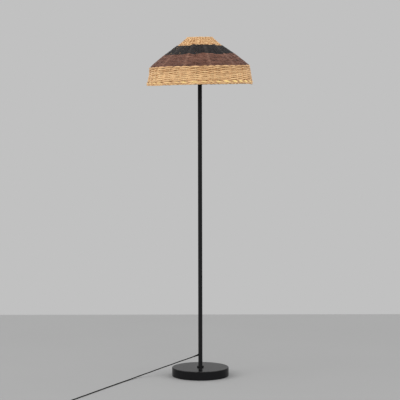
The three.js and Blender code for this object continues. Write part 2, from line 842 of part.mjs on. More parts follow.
// The point at a distance down the outline, and at a depth inside it: x is the radius, y the height.
function onShade(slant, depth) {
  const share = THREE.MathUtils.clamp(slant / shadeLength, 0, 1);
  const point = shadeOutline.getPointAt(share);
  const along = shadeOutline.getTangentAt(share);
  const past = slant - share * shadeLength;
  return new THREE.Vector2(
    point.x + along.x * past + along.y * depth, point.y + along.y * past - along.x * depth,
  );
}

function around(radius, angle, height) {
  return at(radius * Math.sin(angle), -radius * Math.cos(angle), height);
}

// Woven bands. On each stake the outer vertices lie in front of it or behind it by turns, as its strands do.

const stakeAngle = (2 * Math.PI) / stakeCount;
const firstStake = THREE.MathUtils.degToRad(firstRibAngle);
const shellInside = braidBulge + 2 * weaveRelief + weaveThickness;
let rowsSoFar = 0;

function wovenBand({ from, to, depth, toothed }) {
  const rows = Math.max(2, Math.round((to - from) / strandRowPitch));
  const front = Array.from({ length: rows + 1 }, (_, row) => ({ row, outer: true }));
  const backRows = front.filter(({ row }) => row % 2 === 0 || row === rows);
  const back = backRows.reverse().map(({ row }) => ({ row, outer: false }));
  const loop = [...front, ...back, front[0]];
  const geometry = new THREE.LatheGeometry(loop.map(() => new THREE.Vector2(1, 0)), stakeCount);
  const place = geometry.attributes.position;
  for (let stake = 0; stake <= stakeCount; stake += 1) {
    loop.forEach(({ row, outer }, i) => {
      const side = (stake + row + rowsSoFar) % 2 ? -1 : 1;
      const edge = (row === 0 && toothed.top) || (row === rows && toothed.bottom);
      const tooth = edge ? borderTooth * (stake % 2 ? -1 : 1) : 0;
      const share = row / rows;
      const slant = from + seat / 2 + share * (to - from - seat) + tooth;
      const inward = outer ? depth + weaveRelief - side * weaveRelief : shellInside;
      const point = onShade(slant, inward);
      const spot = around(point.x, firstStake + (stake % stakeCount) * stakeAngle, point.y);
      place.setXYZ(stake * loop.length + i, spot.x, spot.y, spot.z);
    });
  }
  rowsSoFar += rows;
  return geometry;
}

const plain = { top: false, bottom: false };

addPiece('top_braid', wovenBand({ from: 0, to: topBraidWidth, depth: 0, toothed: plain }), naturalCane);
addPiece('weave_top', wovenBand({
  from: topBraidWidth, to: neckSlant, depth: braidBulge, toothed: { top: false, bottom: true },
}), naturalCane);
addPiece('weave_black', wovenBand({
  from: neckSlant, to: middleSlant, depth: braidBulge, toothed: { top: true, bottom: true },
}), blackCane);
addPiece('weave_brown', wovenBand({
  from: middleSlant, to: brownSlant, depth: braidBulge, toothed: { top: true, bottom: true },
}), brownCane);
addPiece('weave_lower', wovenBand({
  from: brownSlant, to: rimBraidSlant, depth: braidBulge, toothed: { top: true, bottom: false },
}), naturalCane);
addPiece('rim_braid', wovenBand({
  from: rimBraidSlant, to: shadeLength, depth: 0, toothed: plain,
}), naturalCane);

// Wire frame: twelve ribs just inside the weave, and four rings inside the ribs

const ribDepth = shellInside + ribClearance + ribWire / 2;
const ringDepth = ribDepth + ribWire / 2 + seat + ringWire / 2;
const topRing = onShade(ringEdgeInset, ringDepth);

// Where a rib bends: the steps of each rounded corner, between its two ends.
function ribStops() {
  const bends = [];
  for (let i = 1; i < outlineEnds.length; i += 2) {
    for (let step = 0; step <= ribBendSteps; step += 1) {
      bends.push(THREE.MathUtils.lerp(outlineEnds[i - 1], outlineEnds[i], step / ribBendSteps));
    }
  }
  return [ribEndInset, ...bends, shadeLength - ribEndInset];
}

function rib(index) {
  const angle = firstStake + (2 * Math.PI * index) / ribCount;
  return wireAlong(ribStops().map((slant) => {
    const point = onShade(slant, ribDepth);
    return around(point.x, angle, point.y);
  }), ribWire / 2, wireSides);
}

function wireRing(slant) {
  const centre = onShade(slant, ringDepth);
  const section = Array.from({ length: wireSides }, (_, i) => {
    const angle = (2 * Math.PI * i) / wireSides;
    return [centre.x + (ringWire / 2) * Math.cos(angle), centre.y + (ringWire / 2) * Math.sin(angle)];
  });
  return turned(section, ringSteps).rotateZ(firstStake - Math.PI / 2);
}

addPiece('frame_ring_top', wireRing(ringEdgeInset), satinBlack);
addPiece('frame_ring_neck', wireRing(neckSlant), satinBlack);
addPiece('frame_ring_shoulder', wireRing(shoulderSlant), satinBlack);
addPiece('frame_ring_rim', wireRing(shadeLength - ringEdgeInset), satinBlack);
for (let i = 0; i < ribCount; i += 1) {
  addPiece(`frame_rib_${String(i + 1).padStart(2, '0')}`, rib(i), satinBlack);
}

// Spider: a flat ring on the lampholder's flange and three arms that rise to the top ring.
function spider() {
  const low = flangeHigh + seat;
  const plate = turned(tubeOutline(
    holderRadius + seat, spiderDiameter / 2, low, low + spiderThickness,
  ), poleSides);
  const middle = low + spiderThickness / 2;
  const edge = spiderDiameter / 2;
  const arm = spiderArmWire / 2;
  const knee = { radius: edge + spiderKneeReach, height: middle + spiderKneeRise };
  const topGap = ringWire / 2 + seat;
  const armAt = (index) => {
    const angle = firstStake + Math.PI / ribCount + (2 * Math.PI * index) / spiderArms;
    return wireAlong([
      around(edge - arm, angle, middle), around(edge + spiderLowReach, angle, middle + spiderLowRise),
      around(knee.radius - arm, angle, knee.height - arm), around(knee.radius, angle, knee.height + arm),
      around(topRing.x, angle, topRing.y - topGap),
    ], arm, wireSides);
  };
  return joined(plate, ...Array.from({ length: spiderArms }, (_, i) => armAt(i)));
}

addPiece('shade_spider', spider(), satinBlack);

export default lamp;
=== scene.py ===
from math import atan2, cos, hypot, pi, radians, sin, sqrt, tau
import bmesh
import bpy
import numpy as np
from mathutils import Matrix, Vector


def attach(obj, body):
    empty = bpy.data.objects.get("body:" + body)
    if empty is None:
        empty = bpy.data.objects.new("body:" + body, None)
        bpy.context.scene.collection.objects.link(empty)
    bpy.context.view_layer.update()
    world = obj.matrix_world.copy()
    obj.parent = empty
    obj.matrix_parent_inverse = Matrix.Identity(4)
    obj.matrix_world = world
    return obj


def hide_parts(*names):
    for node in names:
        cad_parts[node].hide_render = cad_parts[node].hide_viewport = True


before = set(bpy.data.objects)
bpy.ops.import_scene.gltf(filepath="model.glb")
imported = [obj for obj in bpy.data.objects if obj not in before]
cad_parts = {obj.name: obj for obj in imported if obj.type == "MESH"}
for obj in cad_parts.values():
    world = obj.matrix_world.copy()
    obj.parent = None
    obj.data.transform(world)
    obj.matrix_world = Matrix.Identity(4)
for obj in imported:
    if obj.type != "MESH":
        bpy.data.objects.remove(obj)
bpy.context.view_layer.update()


# Base cover. A shallow steel dish, spun to a rounded upper edge and finished in fine satin
# black powder coat. It drops over the cast weight, and the pole's stud clamps it down.

cover_corners = [
    (0.1295, 0.0015, 0.0005), (0.1295, 0.04, 0.0036), (0.0053, 0.04), (0.0053, 0.0385),
    (0.128, 0.0385, 0.0024), (0.128, 0.0015, 0.0004),
]
satin_black_colour = (27, 27, 28)
rubbed_coat_colour = (74, 73, 72)
dust_colour = (176, 172, 166)


def paint(chart):
    """A paint chart's colour, from 0 to 255, in the light values that a shader takes."""
    shares = [c / 255 for c in chart]
    return *(s / 12.92 if s < 0.04 else ((s + 0.055) / 1.055) ** 2.4 for s in shares), 1.0


def wire(tree, node, wires):
    """Fills a node's sockets from other nodes, sockets, values or chart colours."""
    for key, value in wires.items():
        if isinstance(value, bpy.types.Node):
            value = value.outputs[0]
        if isinstance(value, bpy.types.NodeSocket):
            tree.links.new(value, node.inputs[key])
        else:
            node.inputs[key].default_value = paint(value) if isinstance(value, tuple) else value
    return node


def add(tree, kind, wires=(), **settings):
    """One shader node with its settings and what goes into its sockets."""
    made = tree.nodes.new(f"ShaderNode{kind}")
    for key, value in settings.items():
        setattr(made, key, value)
    return wire(tree, made, dict(wires))


def figure(tree, how, *terms):
    """The result of one arithmetic step on values or sockets."""
    return add(tree, "Math", dict(enumerate(terms)), operation=how)


def mixed(tree, amount, first, second):
    """Two colours mixed by an amount."""
    return add(tree, "Mix", {0: amount, 6: first, 7: second}, data_type="RGBA").outputs[2]


def patches(tree, size, detail, roughness=0.5, **more):
    """Cloudy values over a piece, in patches of a given size."""
    scale = 1 / size if isinstance(size, float) else figure(tree, "DIVIDE", 1.0, size)
    return add(tree, "TexNoise", {
        "Vector": add(tree, "TexCoord").outputs["Object"], "Scale": scale, "Detail": detail,
        "Roughness": roughness, **more,
    })


def marked(tree, name):
    """What the mesh marks at each point under a name."""
    return add(tree, "Attribute", attribute_name=name).outputs


def effect(name, build, **takes):
    """A node group with named sockets for what it takes and for what its rule makes of it."""
    tree = bpy.data.node_groups.new(name, "ShaderNodeTree")
    for label, value in takes.items():
        kind = "Color" if isinstance(value, tuple) else "Float"
        socket = tree.interface.new_socket(label, in_out="INPUT", socket_type=f"NodeSocket{kind}")
        socket.default_value = paint(value) if kind == "Color" else value
    gives = build(tree, tree.nodes.new("NodeGroupInput").outputs)
    for label in gives:
        kind = "Color" if label == "Color" else "Float"
        tree.interface.new_socket(label, in_out="OUTPUT", socket_type=f"NodeSocket{kind}")
    wire(tree, tree.nodes.new("NodeGroupOutput"), gives)
    return tree


def place(tree, group, **wires):
    """A shared effect placed in a material with its own values."""
    made = tree.nodes.new("ShaderNodeGroup")
    made.node_tree = group
    return wire(tree, made, wires).outputs


def mottled_tone(tree, given):
    """Slow patches that shift a colour and a roughness a little, as on any real coat."""
    about_zero = figure(tree, "SUBTRACT", patches(tree, given["Patch"], 4.0, 0.6), 0.5)
    lift = figure(tree, "MULTIPLY_ADD", about_zero, figure(tree, "MULTIPLY", given["Shift"], 2.0), 1.0)
    swing = figure(tree, "MULTIPLY", given["Spread"], 2.0)
    return {
        "Color": add(tree, "VectorMath", {0: given["Color"], "Scale": lift}, operation="SCALE"),
        "Roughness": figure(tree, "MULTIPLY_ADD", about_zero, swing, given["Roughness"]),
    }


def fine_grain(tree, given):
    """The small bumps of a sprayed coat or a moulded surface, as a height."""
    return {"Height": figure(tree, "MULTIPLY", patches(tree, given["Grain"], 2.0), given["Depth"])}


def rubbed_edge(tree, given):
    """Where a coat wears thin along the edges that hands and floors meet. The mesh marks its edges."""
    broken = patches(tree, given["Patch"], 6.0, 0.7)
    raised = figure(tree, "MULTIPLY_ADD", marked(tree, "edge")["Fac"], given["Amount"], broken)
    return {"Mask": add(tree, "MapRange", {"Value": raised, "From Min": 0.72, "From Max": 1.02})}


def settled_dust(tree, given):
    """A thin film of dust on faces that look up, thicker in patches."""
    up = add(tree, "SeparateXYZ", {0: add(tree, "NewGeometry").outputs["Normal"]}).outputs["Z"]
    patch = patches(tree, given["Patch"], 5.0, 0.65)
    film = figure(tree, "MULTIPLY", figure(tree, "MAXIMUM", up, 0.0), patch)
    return {"Mask": figure(tree, "MULTIPLY", film, given["Amount"])}


mottle = effect(
    "mottled tone", mottled_tone, Color=(188, 188, 188), Patch=0.03, Shift=0.1, Roughness=0.5, Spread=0.05,
)
grain = effect("fine grain", fine_grain, Grain=0.0006, Depth=1.0)
rub = effect("rubbed edge", rubbed_edge, Amount=0.5, Patch=0.012)
dust = effect("settled dust", settled_dust, Amount=0.1, Patch=0.06)


def blank(name):
    """A new material with its nodes and its shader."""
    material = bpy.data.materials.new(name)
    material.use_nodes = True
    return material, material.node_tree, material.node_tree.nodes["Principled BSDF"]


def bumpy(tree, height, strength, distance):
    """The normals of a surface with small bumps."""
    return add(tree, "Bump", {"Height": height, "Strength": strength, "Distance": distance})


def finish(name, colour, roughness, wear_and_highlight=None, rubbing=0.2, shift=0.1, patch=0.02, spread=0.06,
           bump=0.0006, depth=0.04, film=0.05, bump_size=0.0004, **sockets):
    """A finish with a mottled colour, edges scuffed paler, a film of dust and a fine grain."""
    material, tree, shader = blank(name)
    tone = place(tree, mottle, Color=colour, Patch=patch, Shift=shift, Roughness=roughness, Spread=spread)
    coloured = tone["Color"]
    if wear_and_highlight:
        coloured = mixed(tree, place(tree, rub, Amount=rubbing)["Mask"], coloured, wear_and_highlight)
    if film:
        coloured = mixed(tree, place(tree, dust, Amount=film)["Mask"], coloured, dust_colour)
    height = place(tree, grain, Grain=bump)["Height"]
    wire(tree, shader, {
        "Base Color": coloured, "Roughness": tone["Roughness"],
        "Normal": bumpy(tree, height, depth, bump_size),
        **{key.replace("_", " "): value for key, value in sockets.items()},
    })
    return material


def eased(corners, steps=6):
    """Rounds the marked corners of an outline: (radius, height) stays sharp, a third number eases it."""
    made = []
    for i, corner in enumerate(corners):
        middle = Vector(corner[:2])
        if len(corner) < 3:
            made.append((*middle, 0.0))
            continue
        back = (Vector(corners[i - 1][:2]) - middle).normalized() * corner[2]
        ahead = (Vector(corners[(i + 1) % len(corners)][:2]) - middle).normalized() * corner[2]
        for t in np.linspace(0, 1, steps + 1).tolist():
            made.append((*(middle + back * (1 - t) ** 2 + ahead * t * t), sin(pi * t)))
    return made


def turned(outline, sides):
    """Points, faces and edge marks of an outline spun about the upright axis."""
    rings, points, marks, faces = [], [], [], []
    for radius, height, mark in outline:
        count = 1 if radius < 1e-6 else sides
        rings.append([len(points) + i for i in range(count)])
        for i in range(count):
            angle = tau * i / sides
            points.append((radius * cos(angle), radius * sin(angle), height))
            marks.append(mark)
    for a, b in zip(rings, rings[1:] + rings[:1]):
        for i in range(sides):
            j = (i + 1) % sides
            faces.append(list(dict.fromkeys([a[i % len(a)], a[j % len(a)], b[j % len(b)], b[i % len(b)]])))
    return points, [f for f in faces if len(f) > 2], marks


def lathed(corners, sides, steps=6):
    """A shell spun from corners, some of them eased, as on a lathe."""
    return turned(eased(corners, steps), sides)


def set_out(name, data):
    """A new object set out in the scene."""
    made = bpy.data.objects.new(name, data)
    bpy.context.scene.collection.objects.link(made)
    return made


def piece_from(name, shell, material, slot, *nodes, body="stand", crease=40, marks=("edge",)):
    """A smooth mesh piece, crisp where two faces meet at more than the crease. It is fixed to its body
    and stands for the plain solids of its nodes, which it hides. The slot it is given is not used."""
    points, faces, *values = shell
    mesh = bpy.data.meshes.new(name)
    mesh.from_pydata([tuple(p) for p in points], [], [tuple(f) for f in faces])
    skin_mesh = bmesh.new()
    skin_mesh.from_mesh(mesh)
    bmesh.ops.recalc_face_normals(skin_mesh, faces=skin_mesh.faces)
    skin_mesh.to_mesh(mesh)
    skin_mesh.free()
    mesh.polygons.foreach_set("use_smooth", [True] * len(mesh.polygons))
    mesh.set_sharp_from_angle(angle=radians(crease))
    for mark, value in zip(marks, values):
        value = np.asarray(value, np.float32)
        kind, field = ("FLOAT_VECTOR", "vector") if value.ndim == 2 else ("FLOAT", "value")
        mesh.attributes.new(mark, kind, "POINT").data.foreach_set(field, value.ravel())
    mesh.materials.append(material)
    piece = set_out(name, mesh)
    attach(piece, body)
    if nodes:
        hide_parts(*nodes)
    return piece


def turned_piece(name, corners, sides, material, slot, node, steps=6):
    """A lathe turned piece, shaded evenly over its flat faces."""
    piece = piece_from(name, lathed(corners, sides, steps), material, slot, node, crease=35)
    piece.modifiers.new("even shading", "WEIGHTED_NORMAL").keep_sharp = True


satin_black = finish(
    "satin black powder coat", satin_black_colour, 0.17, wear_and_highlight=rubbed_coat_colour, rubbing=0.3, shift=0.14,
    patch=0.05, spread=0.04, bump=0.0007, film=0.005, IOR=1.125,
)
turned_piece("base_dish", cover_corners, 160, satin_black, "satin_black", "base_cover")


# Base weight and its fixings. Cast concrete fills the cover and keeps the lamp upright, and a
# zinc plated plate closes it below. Washer, nut and stud are plated steel and pull the pole down.

cast_concrete = finish(
    "cast concrete", (138, 134, 128), 0.9, shift=0.22, bump=0.0016, depth=0.7, film=0, bump_size=0.001,
)
zinc_plate = finish(
    "zinc plating", (172, 174, 178), 0.34, patch=0.006, spread=0.1, bump=0.0004, depth=0.05, film=0,
    Metallic=0.9,
)


def dress(material, *nodes):
    """Gives plain solids that keep their shape a real finish."""
    for name in nodes:
        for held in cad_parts[name].material_slots:
            held.material = material


dress(cast_concrete, "base_weight")
dress(zinc_plate, "base_plate", "base_washer", "base_nut", "base_stud")


# Felt pad. Pressed grey wool felt 2 mm thick, die cut a little smaller than the base and glued to
# the closing plate, so that the lamp slides without marking a floor. Its cut edge is slightly furry.

felt_radius, felt_thickness, felt_edge = 0.1245, 0.002, 0.0006
hair_size, clump_size = 1 / 900, 1 / 90

# Matted wool: two scales of short crossing hairs in a mixed grey.
pressed_felt, tree, shader = blank("pressed felt")
hairs, clumps = patches(tree, hair_size, 5.0, Distortion=1.6), patches(tree, clump_size, 3.0)
grey = mixed(tree, hairs, (34, 34, 36), (66, 65, 66))
height = figure(tree, "MULTIPLY_ADD", hairs, 0.6, clumps)
wire(tree, shader, {
    "Base Color": mixed(tree, clumps, grey, (40, 40, 42)), "Roughness": 1.0, "Sheen Weight": 0.3,
    "Sheen Roughness": 0.6, "Normal": bumpy(tree, height, 0.8, 0.0006),
})


def reshaped(shell, change):
    """A shell with each of its points moved by a rule."""
    points, *rest = shell
    return [change(Vector(p)) for p in points], *rest


def ragged(p):
    """The edge of the felt wanders by a few tenths of a millimetre."""
    angle = atan2(p.y, p.x)
    pull = 0.0003 * sin(37 * angle) + 0.0002 * sin(101 * angle + 2)
    share = 1 + pull / felt_radius * (hypot(p.x, p.y) > 0.9 * felt_radius)
    return Vector((p.x * share, p.y * share, p.z))


felt = lathed([
    (0, 0), (felt_radius, 0, felt_edge), (felt_radius, felt_thickness, felt_edge), (0, felt_thickness),
], 180, 4)
piece_from("felt_pad", reshaped(felt, ragged), pressed_felt, "felt", "base_felt", crease=60)


# Pole. Three lengths of drawn steel tube, 19 mm across, powder coated like the base. They push
# together over plated joiners inside, so only hairline joints show, and a turned collar hides the foot.

pole_radius, pole_bore = 0.0095, 0.0083
pole_low, pole_high = 0.0403, 1.38562
joint_gap = 0.0003
tube_names = ("lower", "middle", "upper")
tube_pitch = (pole_high + joint_gap - pole_low) / len(tube_names)

satin_tube = finish(
    "satin black tube", (31, 31, 32), 0.5, wear_and_highlight=rubbed_coat_colour, shift=0.08, patch=0.05, spread=0.04,
    bump=0.0007, film=0.01, IOR=1.14,
)

for i, part in enumerate(tube_names):
    low = pole_low + i * tube_pitch
    high = low + tube_pitch - joint_gap
    turned_piece(f"tube_{part}", [
        (pole_radius, low, 0.0005), (pole_radius, high, 0.0005), (pole_bore, high), (pole_bore, low),
    ], 48, satin_tube, "satin_black", f"pole_{part}", 4)

turned_piece("collar_ring", [
    (0.0155, pole_low, 0.0004), (0.0155, 0.0463, 0.0016), (0.0098, 0.0463, 0.0004), (0.0098, pole_low),
], 72, satin_black, "satin_black", "pole_collar")
dress(zinc_plate, "pole_foot_bush", "pole_joiner_lower", "pole_joiner_upper", "pole_top_bush")


# Strain relief on the pole. A black rubber moulding snapped into the pole's wall, with a saddle
# flange and a ribbed sleeve that tapers to the lead, so that the lead can't kink where it comes out.

lead_radius = 0.0023
gland_place = Vector((-pole_radius, 0, 0.095))
gland_slope = radians(20)
gland_heading = Vector((-cos(gland_slope), 0, -sin(gland_slope)))
gland_reach = 0.021

soft_black = finish(
    "soft black sheath", (14, 14, 15), 0.5, spread=0.05, bump=0.0005, film=0.005, IOR=1.08,
)


def aimed(shell, start, heading):
    """Turns a shell built along +Z to run along a heading from a start."""
    turn = Vector((0, 0, 1)).rotation_difference(heading).to_matrix()
    return reshaped(shell, lambda p: turn @ p + start)


def ribbed_sleeve(root, tip, reach, bore, grooves, start=0.0, groove_depth=0.0005):
    """A tapered sleeve with shallow grooves that let it bend."""
    outer, steps = [], grooves * 4
    for i in range(steps + 1):
        share = i / steps
        cut = groove_depth if i % 4 in (2, 3) and i < steps - 1 else 0
        outer.append((root + (tip - root) * share - cut, start + share * (reach - start), 0.3))
    end = reach + 0.0002
    return turned(outer + [(tip - 0.0002, end, 0.6), (bore, end, 0.0), (bore, start, 0.0)], 32)


def joined(*parts):
    """Several shells as one."""
    points, faces, marks = [], [], [[] for _ in parts[0][2:]]
    for more_points, more_faces, *more_marks in parts:
        faces += [[v + len(points) for v in face] for face in more_faces]
        points += list(more_points)
        for kept, more in zip(marks, more_marks):
            kept += list(more)
    return points, faces, *marks


def saddled(p):
    """The flange is hollowed to sit on the pole's round wall."""
    sunk = pole_radius - sqrt(pole_radius ** 2 - p.y ** 2)
    return Vector((p.x, p.y, p.z - 0.6 * sunk))


flange = lathed([
    (lead_radius, -0.001), (0.0052, -0.001), (0.0052, 0.0018, 0.0008), (lead_radius, 0.0018),
], 48, 4)
sleeve = ribbed_sleeve(0.0039, 0.003, gland_reach, lead_radius, 6, 0.0018, 0.00035)
shell = aimed(joined(sleeve, reshaped(flange, saddled)), gland_place, gland_heading)
gland = piece_from("gland_moulding", shell, soft_black, "black_pvc", "lead_gland")
dress(soft_black, "inner_lead")


# Lead. Round two core flex with a soft black sheath, 4.6 mm across and about 2 m long. It slopes
# down past the base, lies along the floor to the foot switch, and its spare length is coiled.

lead_route = [
    (-53, 1, 79), (-77, 3, 70.3), (-101, 4, 62), (-125, 4, 53), (-149, 4, 44.6), (-171, 4, 37),
    (-192, 2, 29.6), (-212, -3, 23.2), (-233, -12, 17), (-253, -24, 12.2), (-272, -42, 8.3),
    (-290, -64, 5.5), (-307, -90, 3.6), (-323, -118, 2.6), (-340, -150, 2.3), (-364, -198, 2.3),
    (-396, -264, 2.3), (-427, -328, 2.3), (-457, -391, 2.3), (-487, -454, 2.3), (-516, -514, 2.3),
    (-545, -575, 2.3), (-571, -630, 2.3), (-580, -664, 2.3), (-574, -699, 2.3), (-555, -730, 2.3),
    (-528, -749, 3), (-508, -756, 5.2), (-491, -757, 7.3),
]
switch_middle = Vector((-0.42, -0.757, 0))
switch_length, switch_sleeve, switch_lead_height = 0.074, 0.02, 0.008
coil_middle = Vector((-0.325, -0.72426, 0))
coil_outer_radius, coil_pitch, coil_low = 0.03274, 0.0051, 0.0026
coil_loops, coil_steps, coil_straight = 4.5, 28, 0.0049


def smoothed(points, between):
    """A smooth line through points, drawn evenly between each two of them."""
    ends = [points[0] * 2 - points[1], *points, points[-1] * 2 - points[-2]]
    made = []
    for near in zip(ends, ends[1:], ends[2:], ends[3:]):
        times = [0.0]
        for a, b in zip(near, near[1:]):
            times.append(times[-1] + max((b - a).length, 1e-6) ** 0.5)
        for step in range(between):
            t = times[1] + (times[2] - times[1]) * step / between
            spots = near
            for spans in (((0, 1), (1, 2), (2, 3)), ((0, 2), (1, 3)), ((1, 2),)):
                spots = [
                    p.lerp(q, (t - times[a]) / (times[b] - times[a]))
                    for p, q, (a, b) in zip(spots, spots[1:], spans)
                ]
            made.append(spots[0])
    return made + [points[-1]]


def skin(rings, sides, closed=False, capped=True):
    """The faces of a skin over rings of points. It meets itself or ends in two caps."""
    i, j = np.arange(rings if closed else rings - 1)[:, None], np.arange(sides)[None, :]
    k, m = (i + 1) % rings, (j + 1) % sides
    corners = i * sides + j, i * sides + m, k * sides + m, k * sides + j
    faces = np.stack(corners, -1).reshape(-1, 4).tolist()
    if capped and not closed:
        faces += [list(range(sides)), list(range((rings - 1) * sides, rings * sides))]
    return faces


def sleeve_along(points, radii, sides, closed=False):
    """A round skin drawn along a line, without twist."""
    line = [Vector(p) for p in points]
    before, after = (line[-1:], line[:1]) if closed else (line[:1], line[-1:])
    tangents = [(b - a).normalized() for a, b in zip(before + line, line[1:] + after)]
    upright = abs(tangents[0].z) >= 0.9
    side = tangents[0].orthogonal() if upright else tangents[0].cross(Vector((0, 0, 1)))
    made = []
    for middle, tangent, radius in zip(line, tangents, np.broadcast_to(radii, len(line)).tolist()):
        side = (side - tangent * side.dot(tangent)).normalized()
        other = tangent.cross(side)
        for j in range(sides):
            angle = tau * j / sides
            made.append(middle + (side * cos(angle) + other * sin(angle)) * radius)
    return made, skin(len(line), sides, closed), [0.0] * len(made)


# The centreline comes out of the gland, runs through the switch and goes round the coil.
straight = Vector((2 * lead_radius, 0, 0))
start = gland_place + gland_heading * (gland_reach + 0.0003)
middle = switch_middle + Vector((0, 0, switch_lead_height))
reach = Vector((switch_length / 2 + switch_sleeve, 0, 0))
near, far = middle - reach, middle + reach
end = Vector((coil_middle.x - coil_straight, middle.y, coil_low))
free = [start, start + gland_heading * 2 * lead_radius]
free += [Vector(p) / 1000 for p in lead_route] + [near - straight, near]
coil, count = [], round(coil_loops * coil_steps)
for i in range(1, count + 1):
    loops = i / count * coil_loops
    angle = tau * loops - pi / 2
    radius = coil_outer_radius - coil_pitch * min(loops, coil_loops - loops)
    climb = min(max((loops - coil_loops / 2) * 2 + 0.5, 0), 1)
    coil.append(coil_middle + Vector((
        radius * cos(angle), radius * sin(angle), coil_low + coil_pitch * climb,
    )))
coil.append(coil[-1] - Vector((coil_straight, 0, 0)))
tail = [far, far + straight, (far + end) / 2, end - straight, end]
lead_path = smoothed(free, 5) + smoothed(tail, 4) + coil
lead = piece_from(
    "lead", sleeve_along(lead_path, lead_radius, 14), soft_black, "black_pvc", "lead_run", "lead_tail",
    "lead_coil", crease=50,
)


# Foot switch. Two moulded nylon halves screwed together from below, a round push button with a
# dished top in a raised ring, and a rubber sleeve at each end. It sits in the lead, on the floor.

switch_width, switch_corner = 0.038, 0.015
lower_levels = [
    (0.0003, 0.003), (0.0003, 0.0016), (0.0007, 0.0008), (0.0014, 0.0003), (0.0024, 0.0), (0.0074, 0.0),
    (0.00785, 0.0003), (0.00785, 0.002),
]
upper_levels = [
    (0.00815, 0.002), (0.00815, 0.0003), (0.0086, 0.0), (0.0166, 0.0), (0.0184, 0.0005), (0.0196, 0.0013),
    (0.0204, 0.0026), (0.0208, 0.004), (0.0209, 0.006),
]
black_nylon = finish(
    "moulded black nylon", (18, 18, 19), 0.5, wear_and_highlight=(58, 57, 56), bump=0.0009, depth=0.22, film=0.03,
    Specular_IOR_Level=0.3,
)


def slab_ring(length, width, corner, inset=0.0, height=0.0, steps=8):
    """One level of a slab with rounded corners."""
    ring = []
    x, y, r = length / 2 - inset, width / 2 - inset, corner - inset
    for quarter, (cx, cy) in enumerate(((x - r, y - r), (r - x, y - r), (r - x, r - y), (x - r, r - y))):
        for step in range(steps + 1):
            angle = pi / 2 * (quarter + step / steps)
            ring.append((cx + r * cos(angle), cy + r * sin(angle), height))
    return ring


def stacked(rings, marks=0.0):
    """Closed rings joined one above another, with both ends filled and a mark for each ring."""
    count, sides = len(rings), len(rings[0])
    points = [p for ring in rings for p in ring]
    return points, skin(count, sides), np.repeat(np.broadcast_to(marks, count), sides)


def switch_half(levels):
    """Half of the housing, from its levels of (height, inset)."""
    size = switch_length, switch_width, switch_corner
    rings = [slab_ring(*size, inset, height) for height, inset in levels]
    return stacked(rings, [float(0 < inset < 0.0024) for _, inset in levels])


button_ring = lathed([
    (0.01215, 0.0195), (0.0146, 0.0195), (0.0146, 0.0215, 0.0007), (0.01215, 0.0215, 0.0004),
], 64, 4)
button = lathed([
    (0, 0.016), (0.012, 0.016), (0.012, 0.0248, 0.0014), (0.0086, 0.025, 0.001),
    (0.0068, 0.0242, 0.001), (0, 0.0241),
], 64, 5)
for name, shell, body, node in (
    ("switch_lower_half", switch_half(lower_levels), "stand", "switch_base"),
    ("switch_upper_half", joined(switch_half(upper_levels), button_ring), "stand", "switch_cover"),
    ("switch_push", button, "foot_button", "switch_button"),
):
    shell = reshaped(shell, lambda p: p + switch_middle)
    piece_from(name, shell, black_nylon, "black_plastic", node, body=body)

for label, side in (("near", -1), ("far", 1)):
    root = switch_middle + Vector((side * switch_length / 2, 0, switch_lead_height))
    shell = ribbed_sleeve(0.0047, 0.0032, switch_sleeve, 0.0024, 5, 0.0003)
    shell, node = aimed(shell, root, Vector((side, 0, 0))), f"switch_relief_{label}"
    piece_from(f"switch_sleeve_{label}", shell, soft_black, "black_pvc", node)


# Coil tie. A flat strap of black nylon, wrapped once round the spare loops of the lead and welded
# to itself, so that the coil holds together on the floor.

strap_width, strap_thick, strap_corner, strap_low = 0.0065, 0.0007, 0.0022, 0.00035
strap_angle = radians(65)

# The strap's section is drawn round the bundle, close against its loops and under them.
inner = coil_outer_radius - coil_pitch * coil_loops / 2 - lead_radius - strap_thick
outer = coil_outer_radius + lead_radius + strap_thick
top = coil_low + coil_pitch + lead_radius + strap_thick
out, up = Vector((cos(strap_angle), sin(strap_angle), 0)), Vector((0, 0, 1))
along = up.cross(out)
middle = coil_middle + out * (outer + inner) / 2 + up * (top + strap_low) / 2
ring = slab_ring(outer - inner, top - strap_low, strap_corner, steps=6)
spots = [middle + out * x + up * y for x, y, _ in ring]
points = []
for i, spot in enumerate(spots):
    outward = along.cross(spots[(i + 1) % len(spots)] - spots[i - 1]).normalized()
    for side, lift in ((-0.5, 0), (0.5, 0), (0.5, 1), (-0.5, 1)):
        points.append(spot - outward * strap_thick * lift + along * strap_width * side)
shell = points, skin(len(spots), 4, closed=True), [0.0] * len(points)
tie = piece_from("coil_tie", shell, black_nylon, "black_plastic", crease=50)


# Plug. Soft black moulding cast round the end of the lead, with waisted finger grips and a ribbed
# tail. Its two round brass pins are plated, and their first half is sleeved in hard plastic.

plug_tail, plug_length = 0.022, 0.036
plug_sections = [
    (0.0225, 0.0066, 0.0052), (0.024, 0.0082, 0.0064), (0.027, 0.0098, 0.007), (0.031, 0.0126, 0.0072),
    (0.035, 0.015, 0.0071), (0.039, 0.0163, 0.0068), (0.043, 0.0168, 0.0067), (0.048, 0.0172, 0.007),
    (0.054, 0.0175, 0.0072), (0.0566, 0.0174, 0.0071), (0.0577, 0.0168, 0.0065), (0.058, 0.0156, 0.0053),
]
plug_face = plug_tail + plug_length
pin_spread, pin_radius, pin_root, pin_tip = 0.0186, 0.002, plug_face - 0.008, plug_face + 0.019
jacket_gap, jacket_end = 0.0001, plug_face + 0.01


def lengthwise(shell, across=0.0):
    """Lays a shell that was spun about +Z along +X, a little to one side."""
    return reshaped(shell, lambda p: Vector((p.z, p.x + across, p.y)))


def laid(shell):
    """Turns a plug part, drawn along +X from the lead's end, to lie where the lead leaves the coil."""
    start = lead_path[-1] - Vector((0.0003, 0, 0))
    return reshaped(shell, lambda p: Vector((-p.x, -p.y, p.z)) + start)


